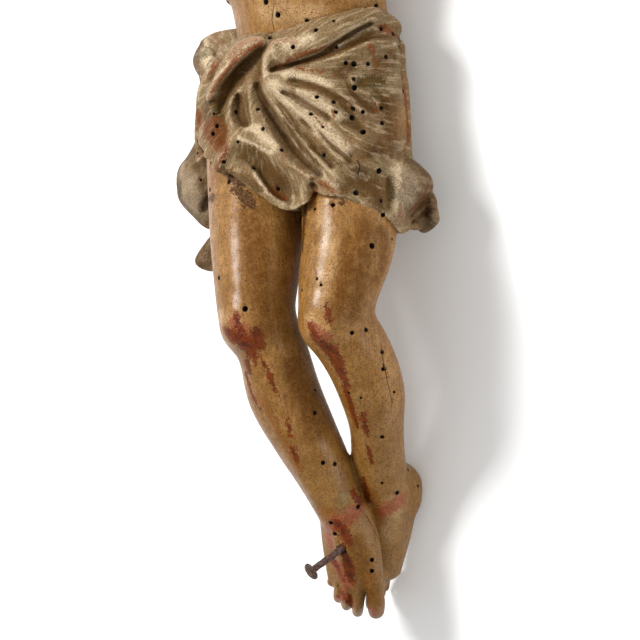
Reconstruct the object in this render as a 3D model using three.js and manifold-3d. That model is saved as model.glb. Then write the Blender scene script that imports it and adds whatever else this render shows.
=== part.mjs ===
// A carved and painted wooden corpus of a crucifix, lying on its back, with the iron nail in its feet.
// +Z is the front of the figure, +Y runs to the head and +X is the figure's own left. The origin is the
// middle of the flat on the back of the hips, where the figure met the cross.
// Pose, proportions and carving are shares: one share is a hundredth of the figure's standing height.
import * as THREE from "three";
import Module from "manifold-3d";

const STANDING_HEIGHT = 333; // mm, sole to crown with the legs straight
const SHARE = STANDING_HEIGHT / 100;
const BLOCK_LOW = [-48, -58, -2.5]; // shares, one corner of the block that the figure is carved from
const BLOCK_HIGH = [48, 56, 21];
const CARVING_STEP = 0.38; // shares, spacing of the grid inside the block
const OUTSIDE = 50; // shares, the distance that the empty block starts with
const FIGURE_FACETS = 9200;
const NAIL_SHANK = 2.4; // mm across
const NAIL_HEAD = 6.4; // mm across
const NAIL_HEAD_THICKNESS = 1.3;
const NAIL_RIM_DROP = 0.6; // mm that the hammered rim bends back to the shank
const NAIL_OUT = 14.6; // mm of nail standing out of the instep
const NAIL_IN = 16; // mm of nail inside the feet
const NAIL_CLEARANCE = 0.3;
const NAIL_SIDES = 20;
const NAIL_ENTRY = [0.6, -47.0, 11.2]; // shares, on the instep
const NAIL_RUN = [-0.46, -0.42, 0.78]; // the way that it points out of the foot

const wasm = await Module();
wasm.setup();

// The carving block: distances to the surface on a grid, negative inside the wood.

const length = (x, y, z = 0) => Math.sqrt(x * x + y * y + z * z);

const softMin = (a, b, k) => {
  const h = Math.max(k - Math.abs(a - b), 0);
  return Math.min(a, b) - (h * h) / (4 * k);
};

class Block {
  constructor(low, high, step) {
    this.low = low;
    this.step = step;
    this.count = low.map((v, i) => Math.ceil((high[i] - v) / step) + 1);
    this.far = new Float32Array(this.count[0] * this.count[1] * this.count[2]).fill(OUTSIDE);
  }
  // Grid points near the form take a mix of what they hold and their distance to the form.
  work({ low, high, distance }, reach, mix) {
    const first = low.map((v, i) => Math.max(0, Math.floor((v - reach - this.low[i]) / this.step) - 1));
    const last = high.map((v, i) =>
      Math.min(this.count[i] - 1, Math.ceil((v + reach - this.low[i]) / this.step) + 1),
    );
    const { far, count, step } = this;
    const [x0, y0, z0] = this.low;
    for (let k = first[2]; k <= last[2]; k++)
      for (let j = first[1]; j <= last[1]; j++)
        for (let i = first[0]; i <= last[0]; i++) {
          const at = i + count[0] * (j + count[1] * k);
          far[at] = mix(far[at], distance(x0 + i * step, y0 + j * step, z0 + k * step));
        }
  }
  add(form, blend = 0.6) {
    this.work(form, blend, (a, b) => softMin(a, b, blend));
  }
  cut(form, blend = 0.4) {
    this.work(form, blend, (a, b) => -softMin(-a, b, blend));
  }
}

// The forms that are added to it or cut out of it.

// The value at t, from 0 to 1, of a smooth curve through rows of numbers.
function through(rows, t) {
  const last = rows.length - 1;
  const i = Math.min(last - 1, Math.floor(t * last));
  const f = t * last - i;
  const [a, b, c, d] = [i - 1, i, i + 1, i + 2].map((n) => rows[Math.min(last, Math.max(0, n))]);
  return b.map((v, n) => {
    const slope = c[n] - a[n];
    const bend = 2 * a[n] - 5 * v + 4 * c[n] - d[n];
    const twist = 3 * (v - c[n]) + d[n] - a[n];
    return v + 0.5 * f * (slope + f * (bend + f * twist));
  });
}

// The box round balls of x, y, z and radius.
function boxOf(balls) {
  const ends = (sign) =>
    [0, 1, 2].map((n) => sign * Math.max(...balls.map((b) => sign * b[n] + b[3])));
  return { low: ends(-1), high: ends(1) };
}

// A limb or a fold: a rod through points of x, y, z and radius.
function rod(points) {
  const steps = points.length === 2 ? 1 : 5 * (points.length - 1);
  const balls = Array.from({ length: steps + 1 }, (_, i) => through(points, i / steps));
  const spans = balls.slice(1).map((b, i) => {
    const a = balls[i];
    const run = [0, 1, 2].map((n) => b[n] - a[n]);
    return [a, run, run.reduce((sum, v) => sum + v * v, 1e-9), b[3] - a[3]];
  });
  const distance = (x, y, z) => {
    let near = 1e3;
    for (const [a, run, length2, growth] of spans) {
      const px = x - a[0];
      const py = y - a[1];
      const pz = z - a[2];
      const t = Math.min(1, Math.max(0, (px * run[0] + py * run[1] + pz * run[2]) / length2));
      const off = length(px - t * run[0], py - t * run[1], pz - t * run[2]);
      near = Math.min(near, off - a[3] - t * growth);
    }
    return near;
  };
  return { ...boxOf(balls), distance };
}

// A sheet of cloth or the palm of a hand: a net of points of x, y, z and half thickness.
function sheet(net) {
  const across = 3 * (net[0].length - 1) * 3;
  const down = 3 * (net.length - 1) * 3;
  const balls = [];
  for (let i = 0; i <= across; i++) {
    const line = net.map((row) => through(row, i / across));
    for (let j = 0; j <= down; j++) balls.push(through(line, j / down));
  }
  const flat = Float32Array.from(balls.flat());
  const distance = (x, y, z) => {
    let near = 1e3;
    for (let i = 0; i < flat.length; i += 4) {
      const dx = x - flat[i];
      const dy = y - flat[i + 1];
      const dz = z - flat[i + 2];
      near = Math.min(near, length(dx, dy, dz) - flat[i + 3]);
    }
    return near;
  };
  return { ...boxOf(balls), distance };
}

// A muscle or another rounded mass: an ellipsoid, turned by degrees about X, Y and Z.
function mass(centre, radii, turn = [0, 0, 0]) {
  const back = new THREE.Matrix4()
    .makeRotationFromEuler(new THREE.Euler(...turn.map(THREE.MathUtils.degToRad)))
    .invert();
  const [rx, ry, rz] = radii;
  const p = new THREE.Vector3();
  const distance = (x, y, z) => {
    p.set(x - centre[0], y - centre[1], z - centre[2]).applyMatrix4(back);
    const k0 = length(p.x / rx, p.y / ry, p.z / rz);
    const k1 = length(p.x / (rx * rx), p.y / (ry * ry), p.z / (rz * rz));
    return k1 < 1e-6 ? -Math.min(...radii) : (k0 * (k0 - 1)) / k1;
  };
  return { ...boxOf([[...centre, Math.max(...radii)]]), distance };
}

// A trunk along Y through rings of y, centre x, centre z, half width and half depth.
function trunk(rings) {
  const [y0, y1] = [rings[0][0], rings[rings.length - 1][0]];
  const table = Array.from({ length: 81 }, (_, i) => through(rings, i / 80));
  const ringAt = (y) => {
    const t = Math.min(80, Math.max(0, ((y - y0) / (y1 - y0)) * 80));
    const i = Math.min(79, Math.floor(t));
    return table[i].map((v, n) => v + (t - i) * (table[i + 1][n] - v));
  };
  const distance = (x, y, z) => {
    const [, cx, cz, rx, rz] = ringAt(y);
    const dx = x - cx;
    const dz = z - cz;
    const k0 = length(dx / rx, dz / rz);
    const k1 = length(dx / (rx * rx), dz / (rz * rz));
    const side = k1 < 1e-6 ? -Math.min(rx, rz) : (k0 * (k0 - 1)) / k1;
    return Math.max(side, y0 - y, y - y1);
  };
  const ends = (sign) => [1, 2].map((n) => sign * Math.max(...rings.map((r) => sign * r[n] + r[n + 2])));
  return { low: [ends(-1)[0], y0, ends(-1)[1]], high: [ends(1)[0], y1, ends(1)[1]], distance, ringAt };
}

// Several forms grown together.
function joined(forms, blend) {
  const ends = (sign) =>
    [0, 1, 2].map((n) => sign * Math.max(...forms.map((f) => sign * (sign < 0 ? f.low : f.high)[n])));
  const distance = (x, y, z) =>
    forms.map((f) => f.distance(x, y, z)).reduce((a, b) => softMin(a, b, blend));
  return { low: ends(-1), high: ends(1), distance };
}

// The part of a form between a lower and an upper edge, each a y for the angle round the core.
function between(form, core, lower, upper) {
  const distance = (x, y, z) => {
    const [, cx, cz, rx, rz] = core.ringAt(y);
    const angle = ((Math.atan2((z - cz) / rz, (x - cx) / rx) * 180) / Math.PI + 360) % 360;
    return Math.max(form.distance(x, y, z), lower(angle) - y, y - upper(angle));
  };
  return { ...form, distance };
}

// Finds points on a form from an angle round the core, y, radius and how far the point is raised.
const surfaceFinder = (form, core) => ([angle, y, r, lift]) => {
  const [, cx, cz, rx, rz] = core.ringAt(y);
  const c = rx * Math.cos(THREE.MathUtils.degToRad(angle));
  const s = rz * Math.sin(THREE.MathUtils.degToRad(angle));
  const size = length(c, s);
  let out = 2 * rx;
  for (let n = 0; n < 60; n++) out -= 0.7 * form.distance(cx + (c / size) * out, y, cz + (s / size) * out);
  return [cx + (c / size) * (out + lift), y, cz + (s / size) * (out + lift), r];
};

// An edge that goes round the trunk: y at evenly spaced angles, joined smoothly.
const edge = (heights) => (angle) => {
  const rows = [...heights, heights[0]].map((h) => [h]);
  return through(rows, angle / 360)[0];
};

// From the grid to facets.

// The surface where the grid changes sign, by splitting each cube in six tetrahedra.
function surfaceOf({ far, count, low, step }) {
  const [nx, ny, nz] = count;
  const jump = [1, nx, nx * ny];
  const offset = Array.from({ length: 8 }, (_, m) => jump.reduce((s, j, n) => s + ((m >> n) & 1) * j, 0));
  const points = [];
  const faces = [];
  const known = new Map();
  const crossing = (base, m, n) => {
    const [a, b] = m < n ? [m, n] : [n, m];
    const key = (base + offset[a]) * 8 + (b - a);
    if (known.has(key)) return known.get(key);
    const va = far[base + offset[a]];
    const vb = far[base + offset[b]];
    const t = Math.min(0.95, Math.max(0.05, va / (va - vb)));
    const start = [base % nx, Math.floor(base / nx) % ny, Math.floor(base / (nx * ny))];
    points.push(
      start.map((s, axis) => {
        const from = (a >> axis) & 1;
        return low[axis] + step * (s + from + t * (((b >> axis) & 1) - from));
      }),
    );
    known.set(key, points.length - 1);
    return points.length - 1;
  };
  const tetrahedra = [
    [0, 1, 3, 7],
    [0, 2, 6, 7],
    [0, 4, 5, 7],
    [0, 3, 2, 7],
    [0, 6, 4, 7],
    [0, 5, 1, 7],
  ];
  const oneFirst = [[0, 1, 2, 3], [1, 0, 3, 2], [2, 0, 1, 3], [3, 0, 2, 1]];
  const pairs = [[0, 1, 2, 3], [0, 2, 3, 1], [0, 3, 1, 2], [1, 2, 0, 3], [1, 3, 2, 0], [2, 3, 0, 1]];
  for (let k = 0; k < nz - 1; k++)
    for (let j = 0; j < ny - 1; j++)
      for (let i = 0; i < nx - 1; i++) {
        const base = i + nx * (j + ny * k);
        let inside = 0;
        for (let m = 0; m < 8; m++) if (far[base + offset[m]] < 0) inside++;
        if (inside === 0 || inside === 8) continue;
        for (const tet of tetrahedra) {
          const wood = tet.map((m) => far[base + offset[m]] < 0);
          const n = wood.filter(Boolean).length;
          const cross = (a, b) => crossing(base, tet[a], tet[b]);
          if (n === 1 || n === 3) {
            const [a, b, c, d] = oneFirst[wood.indexOf(n === 1)];
            const face = [cross(a, b), cross(a, c), cross(a, d)];
            faces.push(n === 1 ? face : face.reverse());
          } else if (n === 2) {
            const [a, b, c, d] = pairs.find(([p, q]) => wood[p] && wood[q]);
            faces.push([cross(a, c), cross(a, d), cross(b, d)], [cross(a, c), cross(b, d), cross(b, c)]);
          }
        }
      }
  return { points, faces };
}

// Fewer facets: the edge whose loss moves the surface least goes first.
function reduce({ points, faces }, target) {
  const at = Float64Array.from(points.flat());
  const corner = (face, n, v, to) => (face[n] === v ? to : at.subarray(3 * face[n], 3 * face[n] + 3));
  const normal = (face, v, to) => {
    const [p, q, r] = [0, 1, 2].map((n) => corner(face, n, v, to));
    const [ux, uy, uz] = [q[0] - p[0], q[1] - p[1], q[2] - p[2]];
    const [vx, vy, vz] = [r[0] - p[0], r[1] - p[1], r[2] - p[2]];
    return [uy * vz - uz * vy, uz * vx - ux * vz, ux * vy - uy * vx];
  };
  const around = points.map(() => []);
  const error = new Float64Array(points.length * 10);
  faces.forEach((face, f) => {
    const n = normal(face, -1);
    const size = length(...n) || 1e-12;
    const [x, y, z] = n.map((v) => v / size);
    const w = -(x * at[3 * face[0]] + y * at[3 * face[0] + 1] + z * at[3 * face[0] + 2]);
    const plane = [x * x, x * y, x * z, x * w, y * y, y * z, y * w, z * z, z * w, w * w];
    for (const v of face) {
      around[v].push(f);
      for (let i = 0; i < 10; i++) error[10 * v + i] += plane[i] * size;
    }
  });
  // The best place for one vertex instead of a and b, left in best, and what it costs.
  const best = [0, 0, 0];
  const weigh = (a, b) => {
    const [q0, q1, q2, q3, q4, q5, q6, q7, q8, q9] = error.subarray(10 * a, 10 * a + 10);
    const e = error.subarray(10 * b, 10 * b + 10);
    const [xx, xy, xz, xw] = [q0 + e[0], q1 + e[1], q2 + e[2], q3 + e[3]];
    const [yy, yz, yw] = [q4 + e[4], q5 + e[5], q6 + e[6]];
    const [zz, zw, ww] = [q7 + e[7], q8 + e[8], q9 + e[9]];
    const cost = (x, y, z) =>
      x * (xx * x + 2 * (xy * y + xz * z + xw)) +
      y * (yy * y + 2 * (yz * z + yw)) +
      z * (zz * z + 2 * zw) +
      ww;
    const p = at.subarray(3 * a, 3 * a + 3);
    const r = at.subarray(3 * b, 3 * b + 3);
    const span = (p[0] - r[0]) ** 2 + (p[1] - r[1]) ** 2 + (p[2] - r[2]) ** 2;
    const [mx, my, mz] = [(p[0] + r[0]) / 2, (p[1] + r[1]) / 2, (p[2] + r[2]) / 2];
    let least = Infinity;
    const consider = (x, y, z) => {
      const c = cost(x, y, z);
      if (c >= least) return;
      least = c;
      best[0] = x;
      best[1] = y;
      best[2] = z;
    };
    consider(mx, my, mz);
    consider(p[0], p[1], p[2]);
    consider(r[0], r[1], r[2]);
    const [c0, c1, c2] = [yy * zz - yz * yz, xy * zz - yz * xz, xy * yz - yy * xz];
    const det = xx * c0 - xy * c1 + xz * c2;
    if (Math.abs(det) > 1e-9) {
      const x = -(xw * c0 - xy * (yw * zz - zw * yz) + xz * (yw * yz - zw * yy)) / det;
      const y = -(xx * (yw * zz - zw * yz) - xw * c1 + xz * (xy * zw - xz * yw)) / det;
      const z = -(xx * (yy * zw - yz * yw) - xy * (xy * zw - xz * yw) + xw * c2) / det;
      if ((x - mx) ** 2 + (y - my) ** 2 + (z - mz) ** 2 < 2 * span) consider(x, y, z);
    }
    return Math.max(0, least) + 1e-7 * span;
  };
  // A heap of edges, the cheapest first; an edge whose ends have moved since is passed over.
  const heap = [];
  const push = (item) => {
    let i = heap.push(item) - 1;
    while (i > 0 && heap[(i - 1) >> 1].cost > item.cost) {
      heap[i] = heap[(i - 1) >> 1];
      i = (i - 1) >> 1;
    }
    heap[i] = item;
  };
  const pop = () => {
    const top = heap[0];
    const item = heap.pop();
    let i = 0;
    for (let next = 1; next < heap.length; next = 2 * i + 1) {
      if (next + 1 < heap.length && heap[next + 1].cost < heap[next].cost) next++;
      if (heap[next].cost >= item.cost) break;
      heap[i] = heap[next];
      i = next;
    }
    if (heap.length) heap[i] = item;
    return top;
  };
  const moves = new Int32Array(points.length);
  const neighbours = (v) => {
    const near = [];
    for (const f of around[v]) for (const w of faces[f]) if (w !== v && !near.includes(w)) near.push(w);
    return near;
  };
  const offer = (a, b) => push({ cost: weigh(a, b), a, b, moves: moves[a] + moves[b] });
  points.forEach((_, v) => {
    for (const w of neighbours(v)) if (w > v) offer(v, w);
  });
  // True if moving v to a place would fold a face over or flatten it.
  const folds = (v, other, to) =>
    around[v].some((f) => {
      if (faces[f].includes(other)) return false;
      const old = normal(faces[f], -1);
      const now = normal(faces[f], v, to);
      const size = length(...now);
      const agreement = old[0] * now[0] + old[1] * now[1] + old[2] * now[2];
      return size < 1e-6 || agreement < 0.25 * length(...old) * size;
    });
  let left = faces.length;
  while (left > target && heap.length) {
    const edge = pop();
    const { a, b } = edge;
    if (!around[a].length || !around[b].length || moves[a] + moves[b] !== edge.moves) continue;
    const nearA = neighbours(a);
    if (neighbours(b).filter((v) => nearA.includes(v)).length !== 2) continue;
    weigh(a, b);
    if (folds(a, b, best) || folds(b, a, best)) continue;
    for (const f of around[b]) {
      if (faces[f].includes(a)) {
        for (const v of faces[f]) if (v !== b) around[v] = around[v].filter((g) => g !== f);
        faces[f] = null;
        left--;
      } else {
        faces[f] = faces[f].map((v) => (v === b ? a : v));
        around[a].push(f);
      }
    }
    around[b] = [];
    at.set(best, 3 * a);
    for (let i = 0; i < 10; i++) error[10 * a + i] += error[10 * b + i];
    moves[a]++;
    for (const v of neighbours(a)) offer(a, v);
  }
  const kept = faces.filter(Boolean);
  const number = new Map();
  for (const face of kept) for (const v of face) if (!number.has(v)) number.set(v, number.size);
  return {
    points: [...number.keys()].map((v) => [...at.subarray(3 * v, 3 * v + 3)]),
    faces: kept.map((face) => face.map((v) => number.get(v))),
  };
}

// Cutting with manifold-3d.

const solid = (positions, indices) =>
  new wasm.Manifold(
    new wasm.Mesh({
      numProp: 3,
      vertProperties: new Float32Array(positions),
      triVerts: new Uint32Array(indices),
    }),
  );

function solidOfGeometry(geometry) {
  const { position } = geometry.attributes;
  const places = new Map();
  const points = [];
  const index = Array.from(geometry.index.array, (i) => {
    const p = [position.getX(i), position.getY(i), position.getZ(i)];
    const key = p.map((v) => Math.round(v * 1e4)).join();
    if (!places.has(key)) places.set(key, points.push(p) - 1);
    return places.get(key);
  });
  const whole = [];
  for (let i = 0; i < index.length; i += 3) {
    const [a, b, c] = index.slice(i, i + 3);
    if (a !== b && b !== c && c !== a) whole.push(a, b, c);
  }
  return solid(points.flat(), whole);
}

function geometryOf(made) {
  const mesh = made.getMesh();
  const geometry = new THREE.BufferGeometry();
  geometry.setAttribute("position", new THREE.BufferAttribute(new Float32Array(mesh.vertProperties), 3));
  geometry.setIndex(new THREE.BufferAttribute(new Uint32Array(mesh.triVerts), 1));
  geometry.computeVertexNormals();
  return geometry;
}

// The figure.

const block = new Block(BLOCK_LOW, BLOCK_HIGH, CARVING_STEP);
const add = (form, blend) => block.add(form, blend);
const cut = (form, blend) => block.cut(form, blend);
const both = (make) =>
  [-1, 1].forEach((side) => make(side, (rows) => rows.map(([x, ...rest]) => [side * x, ...rest])));

// Hips, waist and chest: the hips swing to the figure's right.
const torso = trunk([
  [-7, 0.2, 6.8, 9.2, 5.8],
  [0, -0.4, 6.8, 11.2, 6.8],
  [6, 0.6, 6.6, 10.4, 6.4],
  [12, 1.8, 6.4, 9.2, 5.8],
  [18, 1.7, 6.6, 9.3, 6.3],
  [24, 1.3, 6.9, 10.5, 6.9],
  [29, 1.0, 6.6, 10.0, 6.0],
  [33.5, 0.6, 6.6, 6.4, 3.8],
]);
add(torso, 1);
const onTorso = surfaceFinder(torso, torso);
add(mass([1.6, 12, 8.6], [6.2, 6.0, 4.2]), 2); // belly
both((side) => {
  add(
    rod([
      [1 + side * 1.8, 26, 11.8, 2.0], [1 + side * 5.6, 27, 11.0, 2.7], [0.8 + side * 10.5, 30.5, 8.4, 2.4],
    ]),
    1.5,
  );
  add(
    rod([
      [1 + side * 8.2, 19, 5.6, 2.4], [0.8 + side * 9.6, 25, 5.4, 2.8], [0.4 + side * 12.6, 31, 5.6, 2.4],
    ]),
    1.5,
  );
  add(mass([0.8 + side * 5.4, 25.4, 2.5], [3.4, 4.8, 2.7], [0, 0, side * 12]), 1.5); // shoulder blade
  add( // shoulder
    rod([[0.4, 35, 6.8, 2.2], [0.5 + side * 3.5, 33.4, 5.8, 2.4], [0.4 + side * 9.5, 33, 5.8, 2.4]]),
    1.5,
  );
  add(
    rod([
      [0.8 + side * 1.2, 31.2, 10.6, 0.7], [0.6 + side * 5, 32.4, 10.0, 0.6],
      [0.4 + side * 9, 33.4, 8.8, 0.8],
    ]),
    0.8,
  );
});
for (const [lift, r, ...line] of [
  [0.35, 0.6, [52, 17.4], [70, 20.4], [86, 22.6]], // edge of the ribs
  [0.35, 0.6, [128, 17.4], [110, 20.4], [94, 22.6]],
  [0.2, 0.5, [90, 11.5], [90, 16], [90, 21.5]], // middle line of the belly
  [0.5, 0.9, [270, 12], [270, 20], [270, 31]], // spine
])
  cut(rod(line.map(([angle, y]) => onTorso([angle, y, r, lift]))), 0.8);
for (const y of [16.5, 19, 21.5]) // ribs
  both((side) => {
    const rib = [20, 38, 54].map((a, i) => onTorso([90 - side * (90 - a), y + 1.3 * i, 0.6, -0.25]));
    add(rod(rib), 0.8);
  });

// Arms, raised to both sides, with the palms to the front.
both((side, mirrored) => {
  add(
    rod(mirrored([
      [10.5, 30, 6.4, 3.5], [13.5, 32, 6.2, 3.6], [18, 34.8, 5.8, 3.1], [22, 37.3, 5.2, 2.7],
      [25, 39.2, 4.6, 2.3],
    ])),
    1.5,
  );
  add(
    rod(
      mirrored([
        [25, 39.2, 4.6, 2.3], [28.4, 41.6, 4.1, 2.5], [33, 44.8, 3.0, 1.9], [37, 47.4, 1.9, 1.4],
      ]),
    ),
    1,
  );
  add(
    sheet([
      mirrored([[36.4, 47.8, 1.8, 1.2], [38.4, 50.3, 1.1, 0.9], [40.6, 52.6, 0.8, 0.8]]),
      mirrored([[37.2, 47.2, 1.8, 1.3], [39.6, 49.0, 0.9, 0.9], [41.9, 51.0, 0.6, 0.8]]),
      mirrored([[37.6, 46.4, 1.6, 1.2], [40.4, 47.4, 1.0, 1.0], [43.0, 49.2, 0.8, 0.8]]),
    ]),
    0.8,
  );
  for (const [x, y, bend] of [[40.6, 52.8, 0], [41.7, 51.7, 0.3], [42.6, 50.6, 0.6], [43.2, 49.4, 0.9]])
    add(
      rod(
        mirrored([
          [x, y, 0.9, 0.75], [x + 2.2, y + 1.4 - bend, 1.4, 0.7], [x + 3.5, y + 2.2 - 2 * bend, 2.9, 0.6],
        ]),
      ),
      0.3,
    );
  add( // thumb
    rod(mirrored([[37.6, 49.2, 1.4, 1.0], [37.9, 51.6, 2.3, 0.85], [39.2, 53.4, 3.2, 0.65]])),
    0.5,
  );
});

// Neck and head, bowed forward to the figure's right. Inside the head: to its left, up, and to its face.
const bowed = new THREE.Matrix4()
  .makeRotationFromEuler(new THREE.Euler(...[24, -12, 20].map(THREE.MathUtils.degToRad), "ZXY"))
  .setPosition(-2.4, 37.6, 11.4);
const head = ([s, u, f, r]) => [...new THREE.Vector3(s, u, f).applyMatrix4(bowed).toArray(), r];
const onHead = ([s, u, f], radii) => {
  const tilt = new THREE.Euler().setFromRotationMatrix(bowed, "XYZ");
  const degrees = [tilt.x, tilt.y, tilt.z].map(THREE.MathUtils.radToDeg);
  return mass(head([s, u, f, 0]).slice(0, 3), radii, degrees);
};
add(rod([[0.6, 29.5, 6.8, 3.4], [0, 32.5, 7.8, 2.8], [-1.4, 35.4, 9.4, 2.8]]), 1.5);
add(onHead([0, 1.6, -0.6], [4.3, 4.9, 5.2]), 1);
add(onHead([0, -2.3, 1.2], [3.3, 4.3, 3.7]), 0.8);
add(onHead([0, 1.0, -1.8], [4.9, 5.7, 4.9]), 0.8); // hair over the skull
for (const s of [-3.2, -1.1, 1.1, 3.2]) // and down the neck
  add(
    rod(
      [
        [0.5 * s, 6.0, -2.6, 0.9], [s, 2.6, -5.6, 1.2], [s, -2.2, -5.4, 1.3], [0.9 * s, -6.0, -4.2, 0.9],
      ].map(head),
    ),
    0.3,
  );
both((side, mirrored) => {
  cut(onHead([side * 1.7, 0.5, 4.9], [1.0, 0.75, 0.9]), 0.6); // eye socket
  add(onHead([side * 1.65, 0.35, 3.9], [0.95, 0.6, 0.7]), 0.2); // closed lid
  add( // brow
    rod(mirrored([[0.5, 1.3, 4.7, 0.4], [1.8, 1.5, 4.4, 0.4], [3.0, 1.0, 3.2, 0.4]]).map(head)),
    0.5,
  );
  add(onHead([side * 2.2, -1.3, 3.0], [1.0, 0.9, 0.9]), 0.8); // cheek
  for (const k of [0, 1, 2]) // beard, in locks to each side
    add(
      rod(
        mirrored([
          [3.1 - 0.8 * k, -2.0 - 0.7 * k, 2.2 + 0.7 * k, 0.9],
          [2.3 - 0.6 * k, -4.6 - 0.3 * k, 3.2 + 0.4 * k, 0.9],
          [1.0 - 0.2 * k, -6.6 - 0.3 * k, 4.0 + 0.2 * k, 0.5],
        ]).map(head),
      ),
      0.25,
    );
  for (const k of [0, 1, 2, 3]) // hair, combed from the parting to the shoulders
    add(
      rod(
        mirrored([
          [0.3, 6.1 - 0.5 * k, 2.6 - 1.8 * k, 1.0],
          [3.2, 4.8 - 0.2 * k, 2.4 - 1.7 * k, 1.15],
          [4.6, 1.2, 1.4 - 1.4 * k, 1.15],
          [4.7, -2.6, 0.6 - 1.1 * k, 1.1],
          [4.0 + 0.2 * k, -6.4, -0.2 - 1.0 * k, 0.8],
        ]).map(head),
      ),
      0.25,
    );
});
add(rod([[0, 1.2, 4.5, 0.45], [0, -0.6, 5.4, 0.5], [0, -1.3, 5.5, 0.65]].map(head)), 0.5); // nose
add( // moustache
  rod([[-1.5, -2.2, 4.4, 0.35], [0, -1.95, 5.0, 0.4], [1.5, -2.2, 4.4, 0.35]].map(head)),
  0.25,
);
add(rod([[-0.6, -3.0, 4.7, 0.3], [0.6, -3.0, 4.7, 0.3]].map(head)), 0.2); // lower lip

// The loincloth: hips and thighs thickened by the cloth, between two edges that are given every 10 degrees
// from the left side past the front to the right side and back.
const hips = trunk([
  [-13, -0.4, 7.2, 12.2, 7.8],
  [-7, -0.65, 7.2, 12.35, 8.2],
  [0, -0.65, 7.2, 12.25, 8.0],
  [5, 0.25, 7.0, 11.85, 7.6],
  [9, 0.95, 6.7, 11.45, 7.0],
  [13.5, 1.4, 6.5, 9.9, 6.5],
]);
const draped = joined(
  [
    hips,
    rod([[-6.0, 1, 7.6, 6.0], [-5.4, -6, 9.8, 6.4], [-4.6, -12, 12.6, 6.0]]),
    rod([[5.6, 1, 7.6, 5.8], [6.0, -7, 10.2, 5.9], [6.5, -13, 12.7, 5.7]]),
  ],
  2,
);
const waistLine = edge([
  10.9, 11.6, 12.0, 11.9, 11.7, 11.5, 11.3, 11.0, 10.6, 10.3, 10.0, 10.1, 10.3, 10.2, 10.0, 9.8, 9.6, 9.4,
  9.2, 9.1, 9.1, 9.2, 9.3, 9.4, 9.5, 9.6, 9.7, 9.8, 9.9, 10, 10, 10.1, 10.2, 10.3, 10.4, 10.6,
]);
const hemLine = edge([
  -12.2, -12.5, -12.6, -12.0, -10.4, -9.4, -8.2, -8.2, -8.8, -7.7, -6.1, -4.5,
  -2.9, -1.6, -0.7, -0.3, -0.6, -1.6, -3.0, -4.6, -6.4, -8.0, -9.0, -9.8,
  -10.1, -10.2, -10.1, -9.9, -9.8, -9.8, -10.0, -10.4, -10.9, -11.4, -11.8, -12.0,
]);
const onCloth = surfaceFinder(draped, hips);
add(between(draped, hips, hemLine, waistLine), 0.5);
cut(mass([2.4, -10.6, 12.0], [1.4, 3.2, 1.7]), 0.5); // behind the apron

// Folds that stand up from the cloth: raised by, radius, then angle and y along each.
for (const [lift, r, ...line] of [
  [-0.4, 1.35, [94, 8.4], [76, 9.2], [58, 9.9], [37, 10.7], [20, 10.8]], // waistband
  [-0.5, 1.05, [24, 10.7], [8, 10.5], [-15, 9.7], [-50, 9.0], [-90, 8.6], [-130, 8.2], [-170, 8.2]],
  [-0.1, 0.75, [76, 6.5], [61, 7.4], [49, 8.0], [35, 8.8], [17, 9.4]], // tongue under the band
  // flap over the right hip, then the loop below the knot
  [0, 1.0, [100, 9.4], [109, 9.0], [120, 8.0], [126, 6.4], [128, 4.8], [128, 3.4]],
  [0.3, 0.65, [104, 6.4], [110, 5.2], [112, 3.6], [108, 1.6], [102, 0], [95, -1.1], [82, -3.3], [73, -5.8]],
  [0.1, 0.6, [102, 5.2], [99, 3.0], [98, 0.8], [93, -0.4]],
  [0.1, 0.8, [94, 6.0], [74, 5.9], [53, 4.0], [37, 1.3]], // fan over the left thigh
  [0.15, 0.75, [92, 5.3], [76, 3.7], [61, 1.4], [50, -1.3]],
  [0.2, 0.75, [93, 4.6], [78, 1.6], [65, -2.0], [56, -5.4]],
  [0.2, 0.7, [93, 3.5], [83, 0.6], [73, -2.5], [64, -6.0]],
  // rim of the apron between the thighs
  [0.3, 0.6, [112, -3.4], [102, -4.5], [95, -5.5], [90, -6.9], [84, -7.9], [77, -8.0], [73, -7.0],
    [74, -5.4], [79, -3.6]],
  [0.1, 0.6, [105, -0.6], [110, -1.8], [113, -3.2]],
  [-0.1, 0.85, [57, -4.8], [60, -6.0], [60, -7.4]],
  [-0.1, 0.85, [49, -5.0], [50, -7.0], [49, -8.4]],
  [-0.1, 0.85, [40, -5.0], [39, -7.2], [39, -9.2]],
])
  add(rod(line.map(([angle, y]) => onCloth([angle, y, r, lift]))), 0.6);

// Grooves and hollows between them.
for (const [lift, r, ...line] of [
  [0.5, 0.5, [95, 6.7], [75, 7.2], [58, 8.4], [45, 9.5], [22, 10.1]],
  [0.3, 0.45, [77, 5.9], [61, 6.5], [49, 7.1], [36, 7.8], [18, 8.5]],
  [0.5, 1.2, [99, 8.0], [107, 7.2], [113, 5.9], [116, 4.0]],
  [0.4, 0.6, [102, 6.1], [97, 4.5]],
  [0.3, 0.6, [107, 4.1], [103, 2.5], [102, 0.9]],
  [0.6, 0.65, [98, 4.9], [91, 2.5], [85, 0.4], [78, -2.0], [71, -4.4], [67, -6.0]],
  [0.4, 0.5, [86, 5.1], [74, 4.5], [61, 3.2], [49, 1.3], [42, -0.1]],
  [0.4, 0.55, [87, 4.0], [73, 1.9], [59, -0.8], [50, -3.8]],
  [0.4, 0.5, [88, 2.8], [78, 0.1], [68, -2.9], [60, -6.1]],
  [0.6, 1.0, [101, -2.2], [93, -3.7], [87, -5.5], [81, -6.6]],
  [0.5, 0.5, [69, -5.8], [67, -7.4]],
  [0.4, 0.5, [54, -4.8], [55, -6.3], [55, -8.4]],
  [0.4, 0.5, [45, -5.2], [45, -7.2], [44, -9.6]],
  [0.4, 0.5, [34, -5.2], [34, -7.6], [33, -10.2]],
])
  cut(rod(line.map(([angle, y]) => onCloth([angle, y, r, lift]))), 0.5);

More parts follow.
